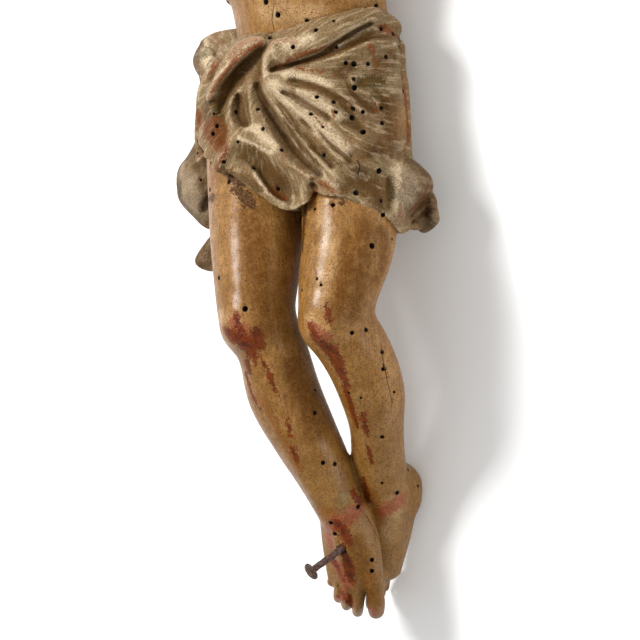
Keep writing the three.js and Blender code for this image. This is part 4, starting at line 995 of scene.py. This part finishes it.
linen = broad.tones("877860", "a2957e")
for paint, mask in (
    ("90785c", cloud * 0.5),
    ("716540", moss * 0.5),
    ("b8ad98", patch * 0.4),
    ("7d6c4c", blots * 0.35),
    ("a07560", (cloud - patch * 0.4).step(0.3, 0.9) * flecks * 0.45),
    # Dark glaze: varnish, and painted shade on the cloth's right side and in its hollows.
    (cloud.tones("523600", "6a4a0e"), glaze_and_shade * (0.55 + blots * 0.45)),
    # Light paint, and painted highlights on the crests of the folds and on the loose ends.
    ("eee8e0", pale_and_highlight * 0.42 + chalk_and_highlight * (0.36 + blots * 0.25)),
    ("52542a", green * 0.72),
    ("6e5a3a", furrow * 0.34),
    ("e2dcd2", ridge * 0.5),
    # Worn paint on what stands proud, and a painted highlight there.
    ("e8e2d9", worn_and_highlit * 0.62),
    # Darker in the hollows and where the soil strokes lie: dirt, and painted shade.
    (blots.tones("543a14", "6e5428"), hollow_dirt_and_shade.most(soil_and_shade * 0.8) * 0.82),
    # Painted shade in the deepest creases.
    ("38270f", deep * 0.6),
    ("a3705a", sharp * 0.5),
    (flecks.tones("6c3412", "9c6034"), bole * 0.85),
    (flecks.tones("63350c", "8f5418"), amber * 0.8),
):
    linen = linen.under(paint, mask)

# Hair: lighter on what stands proud, worn paint and a painted highlight; near-black in the hollows between
# the locks, dirt and painted shade.
locks = patch.tones("402912", "5e3f20").under("8a6638", worn_and_highlit * 0.4).under("24170c", hollow_dirt_and_shade * 0.9)
colour = skin.under(linen, wrap).under(locks, at.marks("hair")).under("3a2714", specks * 0.85)
dull = glaze_and_shade.most(soil_and_shade).most(blood)
crazing = at.node("TexVoronoi", {"feature": "DISTANCE_TO_EDGE"}, {"Vector": at, "Scale": 330})
uneven = patch * 0.35 + blots * 0.35 + flecks * 0.2 + grain * 0.2 - specks * 0.25 + brushed * 1.6 * wrap
uneven = uneven + crazing.step(0.0, 0.05) * (cloud * 0.2) + crumbs * 0.35
feed(shader, {
    "Base Color": colour.under(crumbs.tones("bda988", "e2d0b4"), 1.0, "MULTIPLY"),
    "Coat Weight": (1.0 - wrap) * (0.2 - hollow_dirt_and_shade * 0.16 + patch * 0.18) * (1.0 - dull * 0.9),
    "Roughness": 0.28 + patch * 0.1 + blots * 0.1 + wrap * 0.16 + hollow_dirt_and_shade * 0.2,
    "Normal": at.node("Bump", {}, {"Strength": 0.5, "Distance": 0.0004, "Height": uneven}, "Normal"),
})
shader.inputs["Specular IOR Level"].default_value = 0.12
shader.inputs["Coat Roughness"].default_value = 0.26

# Bare wood inside the borings and the nail hole, painted almost black as painted shade deep in the holes.
bored, at, shader = finish_of("bored_wood")
hole_mottle = at.noise(2600, 3)
feed(shader, {"Base Color": hole_mottle.step(0.4, 0.65).tones("170e07", "3a2612"), "Roughness": 0.8 + hole_mottle * 0.2})

carved.data.materials.append(painted)
cut_mesh.materials.append(bored)


def cut_out(shape):
    """Cuts a shape out of the figure and leaves the shape's material on the cut."""
    cutting = carved.modifiers.new("cut", "BOOLEAN")
    cutting.operation, cutting.solver, cutting.object = "DIFFERENCE", "MANIFOLD", shape
    cutting.material_mode = "TRANSFER"
    bpy.context.view_layer.objects.active = carved
    bpy.ops.object.modifier_apply(modifier=cutting.name)
    bpy.data.objects.remove(shape)


cut_out(borings)

# The hole for the nail in the feet: its mouth is wide and broken.
ENTRY = Vector((0.6, -47.0, 11.2)) * SHARE
RUN = Vector((-0.46, -0.42, 0.78)).normalized()
along_nail = Matrix.Translation(ENTRY) @ RUN.to_track_quat("Z", "Y").to_matrix().to_4x4()
CONES = (-0.0162, 0.004, 0.0015, 0.0015, 0), (-0.0045, 0.003, 0.0014, 0.0032, 0.0004)
for low, high, inner, outer, ragged in CONES:
    bpy.ops.mesh.primitive_cone_add(vertices=22, radius1=inner, radius2=outer, depth=high - low)
    nail_hole = bpy.context.object
    for corner in nail_hole.data.vertices:
        corner.co.x += ragged * chance.normal() + 0.5 * ragged
        corner.co.y += ragged * chance.normal()
    nail_hole.matrix_world = along_nail @ Matrix.Translation((0, 0, (low + high) / 2))
    # Its walls take the almost black painted shade of the borings.
    nail_hole.data.materials.append(bored)
    bpy.context.view_layer.update()
    cut_out(nail_hole)

# Where each paint lies, kept on the points of the finished wood. Strokes of the brush are pixels of the
# photograph and their radius, in pixels too.
vertices = carved.data.vertices
places = np.zeros(3 * len(vertices))
vertices.foreach_get("co", places)
places = places.reshape(-1, 3) / SHARE


def keep(name, values):
    marks = carved.data.attributes.new(name, "FLOAT", "POINT")
    marks.data.foreach_set("value", np.asarray(values, np.float32))


soft = np.clip(figure.far, -1.2, 1.2)
keep("crown", sampled(blurred(soft, 1), places))
keep("crease", sampled(blurred(soft, 3), places))
from_flesh, from_cloth, from_hair = (sampled(layer.far, places) for layer in (flesh, cloth, hair))
keep("cloth", np.clip((from_flesh - from_cloth) / 0.2 + 0.5, 0, 1))
keep("hair", np.clip((from_flesh - from_hair) / 0.15 + 0.5, 0, 1))
STROKES = {
    "blood": """
        228,333,7 240,340,9 252,353,7 | 247,362,5 250,373,3 | 256,332,6 260,346,5 |
        263,362,2 270,378,3 276,391,1.5 | 287,419,2 291,437,2 | 291,446,2 298,462,3 |
        246,374,3 253,397,2.5 260,408,2 | 322,344,6 332,352,8 339,368,6 347,386,4 |
        346,390,3.5 351,405,3.5 357,426,2.5 | 363,414,3 367,434,3 | 368,448,2.5 372,463,2 |
        311,326,3 315,338,5 | 326,306,3 329,320,4 | 236,316,3 240,330,4 |
        336,523,4 343,532,6 349,541,5 | 353,492,4 358,501,5 362,498,4 | 364,480,3 366,492,4 368,500,3 |
        332,560,4 338,566,4 | 343,552,3 348,560,4 351,568,4 351,580,4 | 340,572,3 343,580,3 |
        345,560,3 347,575,3 | 333,588,2 337,596,2 | 343,594,3 346,602,3 | 350,596,3 353,604,3
    """,
    "rose": """
        325,528,6 330,543,7 | 331,528,7 342,521,9 354,512,9 361,505,6 | 382,512,6 392,506,7 402,500,6 |
        311,326,6 322,336,8 | 338,566,8 347,583,8 | 333,589,4 338,598,4 | 343,594,5 351,604,5 |
        372,612,7 | 234,322,8 246,338,10
    """,
    "amber": """
        369,490,6 374,502,8 381,521,6 | 320,512,7 333,513,7 | 346,395,5 356,426,5 | 346,545,4 |
        206,128,9 216,140,9 224,148,7 | 197,114,6 201,122,6 | 213,178,4 212,186,4 |
        262,400,5 300,470,4 | 272,192,5 284,200,4 | 312,196,7 306,204,5 | 214,120,6 222,128,6
    """,
    "bole": """
        262,42,2.5 240,56,2.5 224,74,2.5 211,92,2 | 279,66,2 290,60,3 305,54,3.5 323,48,3 331,43,2 |
        402,78,2 406,110,3 408,140,3 403,152,2 | 428,184,2.5 423,196,3 410,212,3 |
        226,152,2.5 217,168,3 | 312,179,2.5 322,184,3 334,191,2 | 383,28,6 395,36,4 |
        371,46,3 375,61,2.5 | 201,112,3 198,127,4 | 213,176,3 211,187,3 | 205,98,3 |
        296,68,1.5 310,70,1.5 322,72,1.5 | 313,114,1 323,127,1.5 333,133,1 | 333,110,2 334,116,2 |
        375,103,1.5 377,112,2 | 212,66,2 218,58,2 | 218,64,2 208,75,2 | 232,2,2 236,20,2
    """,
    # Soil strokes: dirt, and painted shade in the flap's hollow, on the apron, in the valleys of the folds,
    # in the lobe's hollow and between the thighs.
    "soil_and_shade": """
        258,46,4 250,62,8 236,84,9 224,104,10 | 256,78,6 262,92,5 272,112,4 290,136,4 |
        246,98,5 250,122,5 | 250,152,8 268,172,10 286,190,10 | 222,172,5 246,180,4 262,190,3 |
        286,122,5 303,150,5 320,170,4 | 300,66,4 340,50,5 372,32,5 |
        345,188,5 356,184,8 372,192,9 380,206,5 | 362,84,6 376,78,3 384,84,3 |
        300,84,4 326,92,3 350,104,4 | 372,93,3 380,96,3 382,106,3 | 358,104,3 372,112,3 |
        345,121,3 357,127,4 364,128,3 | 337,72,3 346,78,3 | 292,99,2 304,105,3 318,112,3 |
        320,146,3 340,166,2 | 208,202,5 213,198,4 203,206,3 | 236,188,5 243,195,6 250,203,6 |
        216,164,4 222,172,5 232,178,4 243,184,3 | 424,206,7 | 343,202,4 |
        302,250,4 304,220,5 306,206,4 | 262,160,5 276,176,5
    """,
    "green": """
        206,52,9 | 293,80,4 296,86,4 | 360,84,7 368,82,7 380,82,5 | 252,154,9 262,166,7 |
        313,148,5 326,160,4 | 388,188,6 390,198,5 | 376,162,3 | 374,98,5 | 180,192,8 |
        346,498,8 340,508,7 | 352,86,4 | 240,182,4 256,190,4 | 214,110,7 218,122,7
    """,
    # Glaze strokes: varnish, and painted shade on the far sides of the thighs, on the legs and feet, and on
    # the cloth's right side and in its hollows.
    "glaze_and_shade": """
        390,105,12 390,140,13 370,152,9 | 358,172,10 372,186,12 380,200,8 |
        248,156,11 262,166,9 280,188,9 | 205,112,8 214,126,10 222,143,8 | 244,68,8 232,84,8 216,104,7 |
        392,58,10 380,66,8 | 350,66,7 338,74,6 | 286,118,3 304,146,4 320,168,3 | 262,92,4 280,122,4 |
        302,64,3 340,50,4 370,34,3 | 418,190,6 424,210,8 | 250,215,14 256,260,14 262,300,12 268,330,8 |
        365,225,10 362,270,12 352,310,12 | 350,240,9 345,280,10 338,310,8 |
        382,235,9 384,262,9 376,280,8 | 290,365,11 300,390,12 314,430,12 | 330,395,9 352,440,9 |
        355,545,9 366,575,9 372,600,7
    """,
    # Pale strokes: light paint, and painted highlights along the crests of the folds, the left thigh, the
    # knees, the loose ends and the left leg's edge.
    "pale_and_highlight": """
        265,74,4 264,60,3 272,50,3 | 272,84,6 290,100,7 306,116,6 326,134,6 346,150,5 |
        300,100,6 332,112,5 340,118,4 | 284,74,4 310,78,4 330,84,4 |
        247,128,4 256,128,5 262,136,5 274,146,5 | 238,137,2 256,146,2 272,153,2 |
        270,110,3 284,130,3 300,150,3 320,172,4 336,186,3 | 182,168,6 184,186,7 196,198,8 190,176,8 |
        404,176,8 408,196,8 | 396,200,4 400,218,4 | 286,46,5 310,38,5 | 300,60,2 340,46,2 |
        370,26,4 350,34,4 | 214,80,2 226,66,2 246,52,2 | 256,174,3 264,186,3 274,197,2 |
        330,240,4 326,280,4 322,310,4 | 262,12,8 290,14,10 318,10,8 | 394,505,9 391,535,8 |
        188,180,11 192,200,9 200,210,7 | 398,176,8 403,192,9 400,210,7 | 413,178,6 416,188,5 |
        298,92,4 316,100,4 330,108,4 | 220,316,6 236,322,7 | 312,320,7 322,330,7 |
        190,150,9 184,190,12 200,212,8 | 400,172,10 408,196,10 | 322,215,8 330,250,7 322,290,7 |
        305,110,6 322,124,6 344,150,6 | 205,45,8 208,62,8
    """,
}
for name, text in STROKES.items():
    found = np.zeros(len(places))
    for stroke in text.split("|"):
        row = []
        for spot in stroke.split():
            u, v, r = map(float, spot.split(","))
            place, facing = seen(u, v)
            if place is not None:
                row.append((*(place / SHARE), r / PER_SHARE))
        if len(row) == 1:
            row.append((row[0][0] + 0.01, *row[0][1:]))
        if row:
            wide = max(p[3] for p in row)
            near = rod(row)[2](*places.T)
            found = np.maximum(found, np.clip(0.5 - near / wide, 0, 1))
    keep(name, found)
bpy.ops.object.select_all(action="DESELECT")
carved.select_set(True)
bpy.ops.object.shade_smooth()
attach(carved, "root")
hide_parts("corpus")

# The nail through the feet: forged iron, rusty, with a hammered head whose rim has bent back. It goes into
# the hole with a little room all round, and stands out to the figure's right.
bpy.ops.object.select_all(action="DESELECT")
SHANK_RADIUS, SHANK_LENGTH = 0.0013, 0.028
bpy.ops.mesh.primitive_cylinder_add(vertices=28, radius=SHANK_RADIUS, depth=SHANK_LENGTH)
nail = bpy.context.object
nail.name = "forged_nail"


def grab(end, key=lambda face: face.center.z):
    """Selects the shank's end, the highest or lowest face, for the edits that follow."""
    bpy.ops.object.mode_set(mode="EDIT")
    bpy.ops.mesh.select_mode(type="FACE")
    bpy.ops.mesh.select_all(action="DESELECT")
    bpy.ops.object.mode_set(mode="OBJECT")
    end(nail.data.polygons, key=key).select = True
    bpy.ops.object.mode_set(mode="EDIT")


def drawn_out(rise, grow):
    bpy.ops.mesh.extrude_region_move(TRANSFORM_OT_translate={"value": (0, 0, rise)})
    bpy.ops.transform.resize(value=(grow, grow, 1))


grab(max)
NAIL_HEAD = (  # each ring's height over the last one, and its width against it
    (0, 1.5),
    (-0.0003, 1.4),
    (-0.0003, 1.2),
    (0.0006, 1.02),
    (0.0005, 0.86),
    (0.0003, 0.62),
    (0.0001, 0.4),
)
for rise, grow in NAIL_HEAD:
    drawn_out(rise, grow)
bpy.ops.object.mode_set(mode="OBJECT")
grab(min)
drawn_out(-0.0015, 0.45)  # the point
bpy.ops.object.mode_set(mode="OBJECT")
forged = bpy.data.textures.new("forging", "CLOUDS")
forged.noise_scale, forged.noise_depth = 0.0016, 3
for kind, settings in (
    ("REMESH", {"mode": "VOXEL", "voxel_size": 0.00018}),
    ("DISPLACE", {"texture": forged, "texture_coords": "LOCAL", "strength": 0.0004, "mid_level": 0.55}),
    ("SMOOTH", {"iterations": 2}),
):
    added = nail.modifiers.new(kind.lower(), kind)
    for setting, value in settings.items():
        setattr(added, setting, value)
    bpy.ops.object.modifier_apply(modifier=added.name)
nail.data.transform(along_nail @ Matrix.Translation((0, 0, -0.0009)))
bpy.ops.object.shade_smooth()

rusty, at, shader = finish_of("rusty_iron")
flakes, pits = at.noise(900, 5, 0.65), at.noise(2600, 3, turn=4)
colour = flakes.step(0.4, 0.62).tones("3a2a25", "5e463c")
colour = colour.under("6e3d26", at.noise(500, 4, turn=8).step(0.52, 0.66) * 0.6)
colour = colour.under("1d1614", pits.step(0.55, 0.7) * 0.7)
rust = flakes + pits * 0.5
feed(shader, {
    "Base Color": colour,
    "Roughness": 0.5 + flakes * 0.35,
    "Metallic": 0.55 - flakes.step(0.4, 0.6) * 0.4,
    "Normal": at.node("Bump", {}, {"Strength": 0.6, "Distance": 0.0003, "Height": rust}, "Normal"),
})
nail.data.materials.clear()
nail.data.materials.append(rusty)
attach(nail, "root")
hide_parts("foot_nail")

# Camera at the photograph's angle, looking down on the figure as it lies.
camera = placed("camera", bpy.data.cameras.new("camera"))
camera.data.lens = camera.data.sensor_width * FOCAL / (2 * MIDDLE)
camera.matrix_world = Matrix.Translation(EYE) @ Matrix((right, up, back)).transposed().to_4x4()
bpy.context.scene.camera = camera

# The floor is white paper. A window on the figure's right lights it, and a reflector fills the shadows.
bpy.ops.mesh.primitive_plane_add(size=4, location=(0, 0, 0))
floor = bpy.context.object
floor.name = "floor"
paper, at, shader = finish_of("paper")
feed(shader, {"Base Color": at.noise(6, 2).tones("f6f6f5", "fbfbfa")})
shader.inputs["Roughness"].default_value = 0.9
floor.data.materials.append(paper)
bpy.context.scene.view_settings.view_transform = "Standard"
LAMPS = ("window", 27, 0.45, -1.2, 0.65, 0.68), ("reflector", 6, 0.8, 1.0, 0.1, 1.0)
for name, power, width, across, rise, out in LAMPS:
    light = bpy.data.lights.new(name, "AREA")
    light.energy, light.size = power, width
    lamp = placed(name, light)
    lamp.location = AIM * SHARE + right * across + up * rise + back * out
    lamp.rotation_mode = "QUATERNION"
    lamp.rotation_quaternion = (lamp.location - AIM * SHARE).to_track_quat("Z", "Y")
world = bpy.data.worlds.new("studio")
bpy.context.scene.world = world
world.use_nodes = True
sky = world.node_tree.nodes["Background"]
sky.inputs["Color"].default_value = (1, 1, 1, 1)
sky.inputs["Strength"].default_value = 0.65
